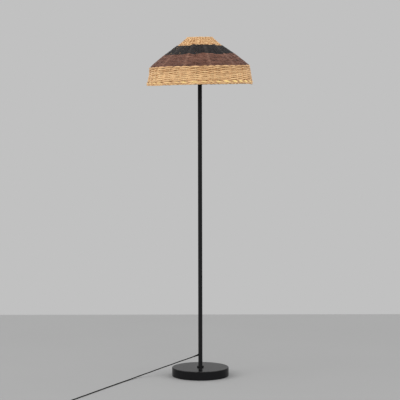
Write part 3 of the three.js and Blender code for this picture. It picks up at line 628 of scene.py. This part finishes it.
rings = [
    [(along, x, y) for x, y, _ in slab_ring(2 * wide, 2 * high, min(high * 0.96, 0.0052), steps=6)]
    for along, wide, high in plug_sections
]
tail = ribbed_sleeve(0.0032, 0.0048, plug_tail + 0.003, 0.001, 7, 0.0, 0.0006)
shell = laid(joined(stacked(rings), lengthwise(tail)))
plug = piece_from("plug_moulding", shell, soft_black, "black_pvc", "plug_body", crease=50)

pin = lathed([(0, pin_root), (pin_radius, pin_root), (pin_radius, pin_tip, 0.0016), (0, pin_tip)], 28, 5)
jacket = lathed([
    (pin_radius - jacket_gap, plug_face), (pin_radius + jacket_gap, plug_face),
    (pin_radius + jacket_gap, jacket_end), (pin_radius - jacket_gap, jacket_end),
], 28)
for number, across in ((1, -pin_spread / 2), (2, pin_spread / 2)):
    shell = laid(lengthwise(pin, across))
    piece_from(f"plug_contact_{number}", shell, zinc_plate, "zinc", f"plug_pin_{number}")
    shell = laid(lengthwise(jacket, across))
    piece_from(f"plug_pin_jacket_{number}", shell, black_nylon, "black_plastic")


# Lampholder. Black phenolic mouldings: a cup on the pole's nipple, a shell that screws into it,
# and a ring with finger grips that clamps the shade. Inside are a glazed core and a brass screw shell.

cup_low, cup_high = 1.3859, 1.4062
shell_low, shell_high = 1.4065, 1.436
flange_low, flange_high = 1.4145, 1.417
thread_depth, thread_pitch = 0.0005, 0.00145
ring_low, ring_high, ring_grips = 1.4196, 1.4286, 16

phenolic = finish(
    "black phenolic moulding", (20, 19, 19), 0.3, wear_and_highlight=(70, 66, 62), patch=0.015, spread=0.08, bump=0.0012,
    depth=0.08, film=0.08,
)
glazed = finish("glazed core", (226, 221, 210), 0.22, shift=0.05, patch=0.01)
bright_brass = finish(
    "bright brass", (196, 158, 82), 0.26, shift=0.14, patch=0.006, spread=0.12, film=0.04, depth=0.06,
    Metallic=0.95,
)
dress(glazed, "holder_core")
dress(bright_brass, "holder_contact", "holder_screw_shell")

turned_piece("cup_moulding", [
    (0.0053, cup_low), (0.011, cup_low, 0.0008), (0.02, 1.3969, 0.003), (0.02, cup_high, 0.0006),
    (0.018, cup_high), (0.018, 1.3979), (0.01, 1.3879), (0.0053, 1.3879),
], 72, phenolic, "black_plastic", "holder_cup")

holder_shell = turned([
    *eased([
        (0.018, shell_low), (0.02, shell_low, 0.0004), (0.02, flange_low),
        (0.024, flange_low, 0.0005), (0.024, flange_high, 0.0005), (0.0198, flange_high),
    ], 4),
    *[(0.02 - thread_depth * (i % 2), flange_high + 0.0016 + thread_pitch * i, 0.0) for i in range(12)],
    *eased([
        (0.0198, shell_high, 0.0006), (0.0143, shell_high, 0.0006), (0.0143, 1.4105), (0.018, 1.4105),
    ], 4),
], 72)
piece_from("shell_moulding", holder_shell, phenolic, "black_plastic", "holder_shell")


def scalloped(p):
    """Hollows round the outside of the clamping ring, so that fingers can turn it."""
    radius, angle = hypot(p.x, p.y), atan2(p.y, p.x)
    dip = 0.0012 * max(0, radius - 0.0235) / 0.0035 * (0.5 - 0.5 * cos(ring_grips * angle)) ** 2
    return Vector((p.x * (1 - dip / radius), p.y * (1 - dip / radius), p.z))


clamp = lathed([
    (0.0203, ring_low), (0.027, ring_low, 0.001), (0.027, ring_high, 0.0012),
    (0.0203, ring_high, 0.0004),
], ring_grips * 8, 5)
piece_from("clamp_ring", reshaped(clamp, scalloped), phenolic, "black_plastic", "holder_ring")


# Bulb. A standard pear shaped lamp of opal glass, 60 mm across, with a rolled screw cap of plated
# brass and a black glass insulator round its foot contact.

cap_radius, cap_roll, cap_pitch = 0.0132, 0.0007, 0.0036
bulb_foot, bulb_top = 1.412, 1.52
glass_radius, neck_radius, neck_low = 0.03, 0.0125, 1.4373

cap_shell = turned([
    *eased([
        (0, bulb_foot), (0.0048, bulb_foot, 0.001), (0.006, bulb_foot + 0.0014, 0.0006),
        (0.0118, bulb_foot + 0.004, 0.0008),
    ], 3),
    *[(
        cap_radius - cap_roll * (0.5 - 0.5 * cos(tau * i / 6)),
        bulb_foot + 0.0062 + cap_pitch * i / 6, 0.4,
    ) for i in range(25)],
    *eased([(cap_radius - 0.0004, 1.422), (cap_radius, 1.4358, 0.0006), (0.0118, 1.437), (0, 1.437)], 3),
], 64)
plated_cap = finish(
    "rolled cap", (198, 196, 188), 0.3, shift=0.12, patch=0.006, spread=0.12, film=0.04, depth=0.05,
    Metallic=0.95,
)
piece_from("screw_cap", cap_shell, plated_cap, "brass", "bulb_cap", crease=50)

opal = finish(
    "opal glass", (240, 236, 226), 0.28, shift=0.03, patch=0.05, spread=0.05, depth=0.02,
    Coat_Weight=0.4, Coat_Roughness=0.12, Subsurface_Weight=0.15,
)

# The glass has a straight neck that swells into a ball.
centre = bulb_top - glass_radius
bend = [
    (neck_radius, neck_low), (neck_radius, (neck_low + centre) / 2),
    (glass_radius, centre - glass_radius / 2), (glass_radius, centre),
]
envelope = [(0.0, neck_low, 0.0), (neck_radius, neck_low, 0.0)]
for t in np.linspace(0, 1, 21).tolist()[1:]:
    shares = (1 - t) ** 3, 3 * t * (1 - t) ** 2, 3 * t * t * (1 - t), t ** 3
    envelope.append((*(sum(w * p[axis] for w, p in zip(shares, bend)) for axis in (0, 1)), 0.0))
for angle in np.linspace(0, pi / 2, 17).tolist()[1:]:
    envelope.append((glass_radius * cos(angle), centre + glass_radius * sin(angle), 0.0))
piece_from("glass_envelope", turned(envelope, 72), opal, "opal", "bulb_globe", crease=60)


# Shade frame. Black coated steel wire, resistance welded: twelve ribs bent to the shade's outline
# and four rings inside them. The shade was woven by hand, so it leans, swells and dips a little.

shade_corners = [
    (0.0555, 1.54), (0.099, 1.5025, 0.008), (0.1605, 1.4627, 0.014), (0.2265, 1.4075, 0.014),
    (0.2386, 1.3248),
]
first_rib, rib_count = radians(12), 12
rib_wire, ring_wire = 0.0035, 0.004
rib_depth, ring_depth = 0.00845, 0.0125

rounded = np.array(eased(shade_corners, 12))
outline = rounded[:, :2]
run = np.concatenate([[0], np.cumsum(np.hypot(*np.diff(outline, axis=0).T))])
neck_run, middle_run, shoulder_run = run[rounded[:, 2] > 0.999]
shade_run = run[-1]
heading = np.gradient(outline, run, axis=0)
heading /= np.hypot(*heading.T)[:, None]
lean_runs = np.array([0, neck_run, middle_run, shoulder_run, shade_run])
lean_slopes = np.array([0.014, 0.01, 0.02, 0.028, 0.0145])
lean_lifts = np.array([0, 0, 0, 0, 0.0007])
bulge_runs = np.array([0, 0.058, 0.063, 0.085, 0.1, 0.12, 0.19, 0.225, 0.25, shade_run - 0.012, shade_run])
left_bulges = np.array([0, 0, 3.4, 2.6, 0, 0, 4.2, 2.6, -0.6, 2.4, 1.2]) / 1000
right_bulges = np.array([0, 0, 2.2, 1.6, 0, -1.0, -0.5, 0, 0.6, 1.8, -1.4]) / 1000


def on_shade(slant, depth, turn):
    """Places points by their distance down the outline, depth inside it and angle from the front."""
    slant, depth, turn = np.broadcast_arrays(slant, depth, turn)
    kept = np.clip(slant, 0, shade_run)
    past = slant - kept
    out, down = np.interp(kept, run, heading[:, 0]), np.interp(kept, run, heading[:, 1])
    radius = np.interp(kept, run, outline[:, 0]) + out * past + down * depth
    height = np.interp(kept, run, outline[:, 1]) + down * past - out * depth
    for bulges, side in ((left_bulges, -1), (right_bulges, 1)):
        radius = radius + np.interp(kept, bulge_runs, bulges) * np.clip(side * np.sin(turn), 0, 1) ** 2
    x, y = radius * np.sin(turn), -radius * np.cos(turn)
    height = height + np.interp(kept, lean_runs, lean_slopes) * x + np.interp(kept, lean_runs, lean_lifts)
    return np.stack([x, y, height], -1)


coated_wire = finish("black coated wire", (20, 20, 20), 0.45, shift=0.12, depth=0.14, film=0.08)
rib_angles = [first_rib + tau * i / rib_count for i in range(rib_count)]


def framed(name, shell, node, crease=60):
    """A wire piece of the frame."""
    piece_from(name, shell, coated_wire, "frame_black", node, body="shade", crease=crease)


for number, angle in enumerate(rib_angles, 1):
    line = on_shade(np.linspace(0.002, shade_run - 0.002, 60), rib_depth, angle)
    framed(f"rib_wire_{number:02d}", sleeve_along(line, rib_wire / 2, 10), f"frame_rib_{number:02d}")

hoop_inset = 0.006
hoops = {"top": hoop_inset, "neck": neck_run, "shoulder": shoulder_run, "rim": shade_run - hoop_inset}
for label, slant in hoops.items():
    circle = on_shade(slant, ring_depth, np.linspace(0, tau, 144, endpoint=False))
    shells = [sleeve_along(circle, ring_wire / 2, 12, closed=True)]
    for angle in rib_angles:
        weld = on_shade(slant, np.linspace(rib_depth + 0.0009, ring_depth - 0.0009, 5), angle)
        shells.append(sleeve_along(weld, [0.0012, 0.0019, 0.0021, 0.0019, 0.0012], 10))
    framed(f"{label}_hoop", joined(*shells), f"frame_ring_{label}")


# Spider. A flat steel ring that sits on the lampholder's flange, with three wire arms welded to it.
# The arms run out level, rise at a knee and are welded under the frame's top hoop.

spider_low, spider_high = 1.4173, 1.4193
arm_wire, first_arm, arm_count = 0.0035, 27, 3
arm_level = (spider_low + spider_high) / 2
arm_bends = [
    (0.0275, arm_level), (0.036, arm_level + 0.0008), (0.042, arm_level + 0.004), (0.0475, 1.433),
    (0.0508, 1.4395), (0.0524, 1.447),
]

shells = [lathed([
    (0.0203, spider_low, 0.0003), (0.031, spider_low, 0.0006), (0.031, spider_high, 0.0006),
    (0.0203, spider_high, 0.0003),
], 96, 4)]
for number in range(arm_count):
    angle = radians(first_arm + 360 / arm_count * number)
    top = Vector(on_shade(hoops["top"], ring_depth, angle).tolist())
    stops = [Vector((r * sin(angle), -r * cos(angle), z)) for r, z in arm_bends]
    stops += [stops[-1].lerp(top, 0.5), top - Vector((0, 0, 0.0016))]
    shells.append(sleeve_along(smoothed(stops, 6), arm_wire / 2, 12))
framed("spider_welded", joined(*shells), "shade_spider", 40)


# Woven shade. Split rattan on thirty six upright stakes, one at each rib and two between, set by eye.
# Rows go over one stake and under the next, in natural, black and brown stained cane, then natural
# again. A pair of strands, twined between the stakes, covers the last change of colour.

chance = np.random.default_rng(11)
stake_count, stake_steps = 36, 8
weave_middle, weave_swing = 0.0035, 0.00155
strand_tall, strand_thick = 0.00262, 0.00135
stake_wide, stake_deep = 0.0016, 0.0013
top_braid_width = 0.009
turns = np.linspace(-pi, pi, stake_count * stake_steps, endpoint=False)
section = tau * np.arange(8) / 8
stray_stakes = [
    (-180, 0), (-150, 1.5), (-120, -1), (-98, 0.8), (-68, 0.2), (-58, -0.7), (-48, -1.9), (-38, 1.7),
    (-28, 2.6), (-18, 0), (-8, 3), (2, 3.6), (12, 0.9), (22, -2.1), (32, -2.3), (42, -0.7), (52, -2.3),
    (62, -2.9), (72, -1.6), (100, 1), (130, -1.4), (160, 1.2), (180, 0),
]
natural_colour, natural_pale, natural_dark = (211, 169, 121), (237, 200, 148), (158, 110, 62)


def set_by_eye(turn):
    """The angle at which a stake really stands, from its place in an even row of them."""
    wrapped = (turn + pi) % tau - pi
    return wrapped + np.radians(np.interp(np.degrees(wrapped), *zip(*stray_stakes)))


even_turns = np.linspace(-pi, pi, 2000, endpoint=False)
stake_phase = stake_count / 2 * (np.interp(turns, set_by_eye(even_turns), even_turns) - first_rib)
stake_turns = set_by_eye(first_rib + tau / stake_count * np.arange(stake_count))


def wander(size, slowest, quickest, around=turns):
    """An uneven line round the shade, made of waves of chance height and start."""
    waves = np.arange(slowest, quickest + 1)[:, None]
    heights = chance.normal(size=len(waves))[:, None]
    starts = chance.uniform(0, tau, len(waves))[:, None]
    return size * (heights * np.sin(waves * around + starts)).sum(0) / sqrt(len(waves) / 2)


def cane_fibre(tree, given):
    """Long streaks down each strand, which is paler or darker as the mesh marks it."""
    laid = add(tree, "SeparateXYZ", {0: marked(tree, "fibre")["Vector"]}).outputs
    angle = figure(tree, "MULTIPLY", laid["Y"], tau)
    round_z = figure(tree, "MULTIPLY", figure(tree, "SINE", angle), 2.6)
    at = add(tree, "CombineXYZ", {
        0: figure(tree, "MULTIPLY", laid["X"], 45.0),
        1: figure(tree, "MULTIPLY", figure(tree, "COSINE", angle), 2.6),
        2: figure(tree, "MULTIPLY_ADD", laid["Z"], 3.7, round_z),
    })
    streak = add(tree, "TexNoise", {"Vector": at, "Scale": 1.6, "Detail": 6.0, "Roughness": 0.7})
    pore = add(tree, "TexNoise", {"Vector": at, "Scale": 9.0, "Detail": 2.0})
    pores = add(tree, "MapRange", {"Value": pore, "From Min": 0.6, "From Max": 0.72, "To Max": -0.7})
    reach = figure(tree, "MULTIPLY", given["Streak"], 4.0)
    swing = figure(tree, "MULTIPLY_ADD", figure(tree, "SUBTRACT", streak, 0.5), reach, pores)
    value = figure(tree, "MULTIPLY_ADD", marked(tree, "tone")["Fac"], given["Tone"], swing)
    pale = add(tree, "Clamp", {0: value})
    dark = add(tree, "Clamp", {0: figure(tree, "MULTIPLY", value, -1.0)})
    smooth = figure(tree, "SUBTRACT", 0.5, streak)
    return {
        "Color": mixed(tree, dark, mixed(tree, pale, given["Color"], given["Pale"]), given["Dark"]),
        "Roughness": figure(tree, "MULTIPLY_ADD", smooth, 0.25, given["Roughness"]), "Height": streak,
    }


fibre = effect(
    "cane fibre", cane_fibre, Color=natural_colour, Pale=natural_pale, Dark=natural_dark, Streak=0.6,
    Tone=1.0, Roughness=0.55,
)


def cane(name, colour, pale, dark, wear_and_highlight, wear_and_highlight_amount, film):
    """Cane in one stain with a little dust, paler where marked: scuffs and peel, and a painted highlight.
    """
    material, tree, shader = blank(name)
    look = place(tree, fibre, Color=colour, Pale=pale, Dark=dark)
    # Paler where the mesh marks it: scuffed stain on the rib ridges and pale peel on the rim's ovals, both
    # with a painted highlight.
    paled = mixed(tree, figure(tree, "MULTIPLY", marked(tree, "wear_and_highlight")["Fac"], wear_and_highlight_amount), look["Color"], wear_and_highlight)
    dusty = mixed(tree, place(tree, dust, Amount=film, Patch=0.03)["Mask"], paled, dust_colour)
    wire(tree, shader, {
        "Base Color": dusty, "Roughness": look["Roughness"], "Specular IOR Level": 0.35,
        "Normal": bumpy(tree, look["Height"], 0.6, 0.0005),
    })
    return material


# Each cane's fifth colour is the paler one that its marks reach, for scuffs and peel with a painted
# highlight.
canes = {
    "cane_natural": cane(
        "natural cane", natural_colour, natural_pale, natural_dark, (255, 222, 144), 0.95, 0.05),
    "cane_black": cane(
        "black stained cane", (33, 28, 28), (60, 54, 52), (18, 16, 16), (100, 90, 84), 0.3, 0.02),
    "cane_brown": cane(
        "brown stained cane", (102, 65, 51), (136, 95, 78), (60, 36, 28), (164, 124, 104), 0.4, 0.03),
}


def row_line(row, top, bottom, share, drift, ribbed):
    """The line of one woven row between the edges of its band, in and out between the stakes."""
    slant = top + (bottom - top) * share + drift + wander(0.00016, 4, 30)
    over = np.cos(stake_phase + pi * row)
    rise = np.sign(over) * np.abs(over) ** 0.8
    lying = np.interp(slant, run, heading[:, 0])
    radius = np.interp(slant, run, outline[:, 0])
    half_gap = pi / rib_count
    nearest = (turns - first_rib + half_gap) % (2 * half_gap) - half_gap
    ridge = np.exp(-((nearest * radius / 0.0055) ** 2))
    hollow = 0.0011 * (0.5 - 0.5 * np.cos(rib_count * (turns - first_rib)) - ridge)
    swing = weave_swing * (1.2 - 0.68 * lying)
    depth = weave_middle + hollow - swing * rise + wander(0.00018, 10, 60)
    tall = strand_tall * (0.93 + 0.09 * lying + 0.05 * over + wander(0.06, 4, 40))
    thick = strand_thick * (1 + 0.28 * lying + wander(0.05, 4, 40))
    plain = 1 - ribbed
    tone = chance.normal(0, 0.2) + wander(0.18, 2, 12) + wander(0.16 + 0.2 * plain * lying.mean(), 18, 50)
    # Painted light and shade: strands are paler where they pass over a stake and darker where they dip
    # behind it, and natural rows are darker the more they lie back, as painted shade on the upward slope.
    painted_relief_strength = 0.25 + 0.3 * plain * (1 + 2 * lying)
    tone = tone + painted_relief_strength * (0.6 * over - 0.4 * np.clip(-2 * over, 0, 1)) - 0.25 * plain * lying
    # Stained rows are paler along the rib ridges: scuffed stain with a painted highlight.
    wear_and_highlight = ridge * ribbed
    return dict(slant=slant, depth=depth, tall=tall, thick=thick, tone=tone, wear_and_highlight=wear_and_highlight, seed=row * 1.37)


def cane_shell(slant, depth, turn, along, tone, wear_and_highlight, seed, closed):
    """The skin of one length of cane from its sections, with the marks that its finish reads."""
    points = on_shade(slant, depth, turn)
    count, sides = points.shape[:2]
    marks = np.stack(np.broadcast_arrays(along[:, None], section / tau, seed), -1).reshape(-1, 3)
    tone, wear_and_highlight = (np.repeat(np.broadcast_to(value, count), sides) for value in (tone, wear_and_highlight))
    return points.reshape(-1, 3), skin(count, sides, closed, capped=False), marks, tone, wear_and_highlight


def strand(slant, depth, tall, thick, tone, wear_and_highlight, seed, turn=turns):
    """One strand that runs right round the shade."""
    along = turn * np.interp(slant, run, outline[:, 0])
    slant = slant[:, None] + np.outer(tall, np.cos(section))
    depth = depth[:, None] + np.outer(thick, np.sin(section))
    return cane_shell(slant, depth, turn[:, None], along, tone, wear_and_highlight, seed, True)


def stake(number, top, bottom):
    """A length of one upright stake, seen between the rows that cross it."""
    slant = np.linspace(top, bottom, max(2, round((bottom - top) / 0.006)))[:, None]
    turn = stake_turns[number] + stake_wide * np.cos(section) / np.interp(slant, run, outline[:, 0])
    depth = weave_middle + stake_deep * np.sin(section)
    return cane_shell(slant, depth, turn, slant[:, 0], chance.normal(-0.1, 0.3), 0.0, number * 2.3, False)


def woven_piece(name, shells, slot, node):
    """Strands and stakes of one colour as one piece."""
    marks = ("fibre", "tone", "wear_and_highlight")
    piece_from(name, joined(*shells), canes[slot], slot, node, body="shade", crease=180, marks=marks)


def drawn(*stops):
    """A drift round the shade, from its values at angles from the front, in degrees and mm."""
    angles, drifts = zip(*stops)
    return np.interp(np.degrees(turns), angles, np.array(drifts) / 1000)


def paired_row(middle, seed, tall, peel_and_highlight, twist, swell, painted_dip_shade):
    """Two strands twisted round each other between the stakes, one oval over each stake."""
    shells = []
    for number in range(2):
        phase = stake_phase + pi * number
        over = np.cos(phase)
        shells.append(strand(
            slant=middle + twist * np.sin(phase) + wander(0.0002, 8, 40),
            depth=weave_middle - 0.0007 - 0.0018 * np.sign(over) * np.abs(over) ** 0.7,
            tall=tall * (1 - swell + swell * over) * (1 + wander(0.08, 8, 40)), thick=0.0016,
            # Painted shade where a strand dips behind a stake; where it comes over, pale peel with a
            # painted highlight.
            tone=wander(0.2, 4, 40) - painted_dip_shade * np.clip(0.4 - over, 0, 1),
            wear_and_highlight=np.clip(1.5 * over - 0.5, 0, 1) * peel_and_highlight, seed=seed + 7.7 * number,
        ))
    return shells


top_edge = np.full(len(turns), top_braid_width)
black_edge = neck_run + drawn(
    (-180, 2), (-90, 3), (-50, 3), (-27, 2), (-20, -4), (-6, -5), (4, -4), (12, -2), (44, -3), (52, 3),
    (90, 2), (180, 2),
)
brown_edge = middle_run + drawn(
    (-180, 0), (-90, 1), (-30, 2), (-18, -3), (-9, 1), (0, -5), (12, -5), (22, 0), (35, 5), (48, 0),
    (58, -3), (90, -6), (180, 0),
)
lower_edge = shoulder_run + drawn(
    (-180, 3), (-60, 2.5), (-40, 1), (-25, 3), (0, 4.5), (20, 4), (32, 5), (45, 5.5), (70, 4.5), (180, 3),
)
rim_edge = shade_run - 0.0165 + drawn(
    (-180, 0), (-130, 0), (-110, 1), (-90, 2.5), (-68, 3), (-50, 3.2), (-35, 1.8), (-10, 0.8), (5, 0),
    (56, 0), (68, 1.2), (90, 4), (105, 1), (120, 0), (180, 0),
)
left_side = np.exp(-(((np.degrees(turns) + 45) / 32) ** 2))

# Each band has its edges, rows, slot and node, then how far its tones are spread and lifted, how
# full its strands are and how far its stakes run on past its lower edge. The top band's lift darkens
# it as painted shade on its upward slope; the lower band's lift makes it paler towards the left.
bands = {
    "natural_top_rows": (top_edge, black_edge, 11, "cane_natural", "weave_top", 1.35, -0.15, 1, 0),
    "black_rows": (black_edge, brown_edge, 16, "cane_black", "weave_black", 1, 0, 1, 0),
    "brown_rows": (brown_edge, lower_edge, 19, "cane_brown", "weave_brown", 1, 0, 1.07, -0.002),
    "natural_lower_rows": (
        lower_edge, rim_edge, 15, "cane_natural", "weave_lower", 1, 0.25 * left_side, 1, 0.008),
}
bare_stakes = (*range(26, 32), 35)
row_number = 0
drift = wander(0.0003, 2, 30)
for name, (upper, under, rows, slot, node, spread, lift, fullness, past) in bands.items():
    shells = []
    if name == "natural_lower_rows":
        shells += paired_row(lower_edge - 0.0017, 171, 0.0041, 0.0, 0.0003, 0.66, 0.0)
    for row in range(rows):
        drift = 0.75 * drift + wander(0.00022, 2, 30) + left_side * wander(0.0006, 8, 30)
        line = row_line(row_number, upper, under, (row + 0.5) / rows, drift, slot != "cane_natural")
        line["tone"] = spread * line["tone"] + lift
        line["tall"] *= fullness
        # The last brown row is darker, darkest where it crosses between stakes: painted shade in the gaps
        # between the twined row's ovals.
        if name == "brown_rows" and row == rows - 1:
            line["tone"] -= 0.5 + 2.2 * (1 - np.abs(np.cos(stake_phase))) ** 1.5
        if name == "natural_lower_rows" and row == 0:
            line["slant"] -= 0.0014
        shells.append(strand(**line))
        row_number += 1
    for number, turn in enumerate(stake_turns):
        top, bottom = np.interp(turn, turns, upper), np.interp(turn, turns, under)
        shells.append(stake(number, top, bottom + past))
    if name == "natural_top_rows":
        for number in bare_stakes:  # short lengths that the black stain missed
            for top in chance.uniform(neck_run + 0.004, middle_run - 0.003, 4):
                shells.append(stake(number, top, top + 0.0045))
    woven_piece(name, shells, slot, node)


# Shade borders. The top edge is closed with a three strand plait. The rim has a row of paired cane,
# twisted once between stakes with its pale peel outward, above a thicker plait of the stake ends.
# Its ovals are paled as pale peel with a painted highlight, and darkened as painted shade where they dip.


def plait(middle, width, loops, samples, tall, thick, seed):
    """Three strands that pass over each other by turns, laid round the shade."""
    around = np.linspace(-pi, pi, samples, endpoint=False)
    middle = np.interp(around, turns, middle)
    shells = []
    for number in range(3):
        phase = loops * around + tau * number / 3 + wander(0.25, 2, 12, around)
        shells.append(strand(
            slant=middle + width * np.sin(phase) + wander(0.0002, 10, 60, around),
            depth=weave_middle - 0.0004 - 0.0012 * np.sin(2 * phase), turn=around,
            tall=tall * (1 + wander(0.08, 10, 60, around)),
            thick=thick * (1 + wander(0.05, 10, 60, around)),
            tone=0.05 + wander(0.35, 6, 40, around), wear_and_highlight=0.0, seed=seed + 5.3 * number,
        ))
    return shells


top_plait = plait(top_edge - 0.0044, 0.0024, 10, 360, 0.0021, 0.0017, 91)
woven_piece("top_plait", top_plait, "cane_natural", "top_braid")
# How far the rim's ovals are paled, by angle from the front: pale peel with a painted highlight, strongest
# on the right.
peel_and_highlight_by_angle = drawn(
    (-180, 600), (-75, 300), (-55, 500), (-30, 100), (-15, 800), (0, 600), (12, 200), (25, 1000),
    (62, 1000), (75, 500), (180, 600),
)
rim = paired_row(rim_edge + 0.005, 131, 0.0041, peel_and_highlight_by_angle, 0.0013, 0.2, 0.8)
rim += plait(rim_edge + 0.0119, 0.0022, 25, 700, 0.0021, 0.0018, 151)
woven_piece("rim_plait", rim, "cane_natural", "rim_braid")


# Floor. A plain grey studio floor that ends at the foot of the backdrop. Seen from below it is
# clear, so that the underside of the lamp can be looked at.

floor_dark, floor_pale, floor_patch = (154, 154, 154), (158, 158, 158), 1 / 1.3
floor_corners = [(-9, -10, 0), (9, -10, 0), (9, 1.908, 0), (-9, 1.908, 0)]

painted_floor, tree, shader = blank("painted floor")
wire(tree, shader, {
    "Base Color": mixed(tree, patches(tree, floor_patch, 3.0), floor_dark, floor_pale), "Roughness": 0.9,
    "Specular IOR Level": 0.1,
})
either = add(tree, "MixShader", {
    0: add(tree, "NewGeometry").outputs["Backfacing"], 1: shader, 2: add(tree, "BsdfTransparent"),
})
wire(tree, tree.nodes["Material Output"], {"Surface": either})
floor_mesh = bpy.data.meshes.new("floor")
floor_mesh.from_pydata(floor_corners, [], [(0, 1, 2, 3)])
floor_mesh.materials.append(painted_floor)
set_out("floor", floor_mesh)


# Studio light. A pale room all round, which the lens and polished faces see as the grey backdrop,
# and two large soft lamps in front, the one on the left a little stronger than the one on the right.

backdrop_colour = (193, 193, 193)
room_light = 1.02
lamp_size, lamp_target = 5.4, Vector((0, 0, 0.6))

world = bpy.data.worlds.new("studio")
bpy.context.scene.world = world
world.use_nodes = True
tree = world.node_tree
tree.nodes.clear()
path = add(tree, "LightPath").outputs
seen = figure(tree, "MAXIMUM", path["Is Camera Ray"], path["Is Glossy Ray"])
seen = figure(tree, "MAXIMUM", seen, path["Is Transmission Ray"])
room = add(tree, "Background", {"Color": (255, 255, 255), "Strength": room_light})
backdrop = add(tree, "Background", {"Color": backdrop_colour, "Strength": 1.0})
both = add(tree, "MixShader", {0: seen, 1: room, 2: backdrop})
add(tree, "OutputWorld", {"Surface": both})

for name, spot, power in (("key_lamp", (-8.6, -4.6, 4.6), 400), ("fill_lamp", (8.6, -4.6, 4.6), 300)):
    light = bpy.data.lights.new(name, "AREA")
    light.shape = "DISK"
    light.size = lamp_size
    light.energy = power
    lamp = set_out(name, light)
    lamp.location = spot
    lamp.rotation_euler = (lamp_target - Vector(spot)).to_track_quat("-Z", "Y").to_euler()


# Camera. A long lens 7 m away and 1.3 m up, tipped down a little, so that the lamp fills the
# height of the picture and the pole stays upright in it.

camera_place = (-0.0004, -6.959, 1.305)
camera_dip, camera_roll = radians(4.12), radians(-0.11)

camera_data = bpy.data.cameras.new("view")
camera_data.lens = 138.6
camera_data.sensor_width = 36
camera_data.clip_end = 100
camera = set_out("view", camera_data)
camera.location = camera_place
camera.rotation_euler = (pi / 2 - camera_dip, 0, 0)
camera.rotation_euler.rotate_axis("Z", camera_roll)
bpy.context.scene.camera = camera
bpy.context.scene.view_settings.view_transform = "Standard"
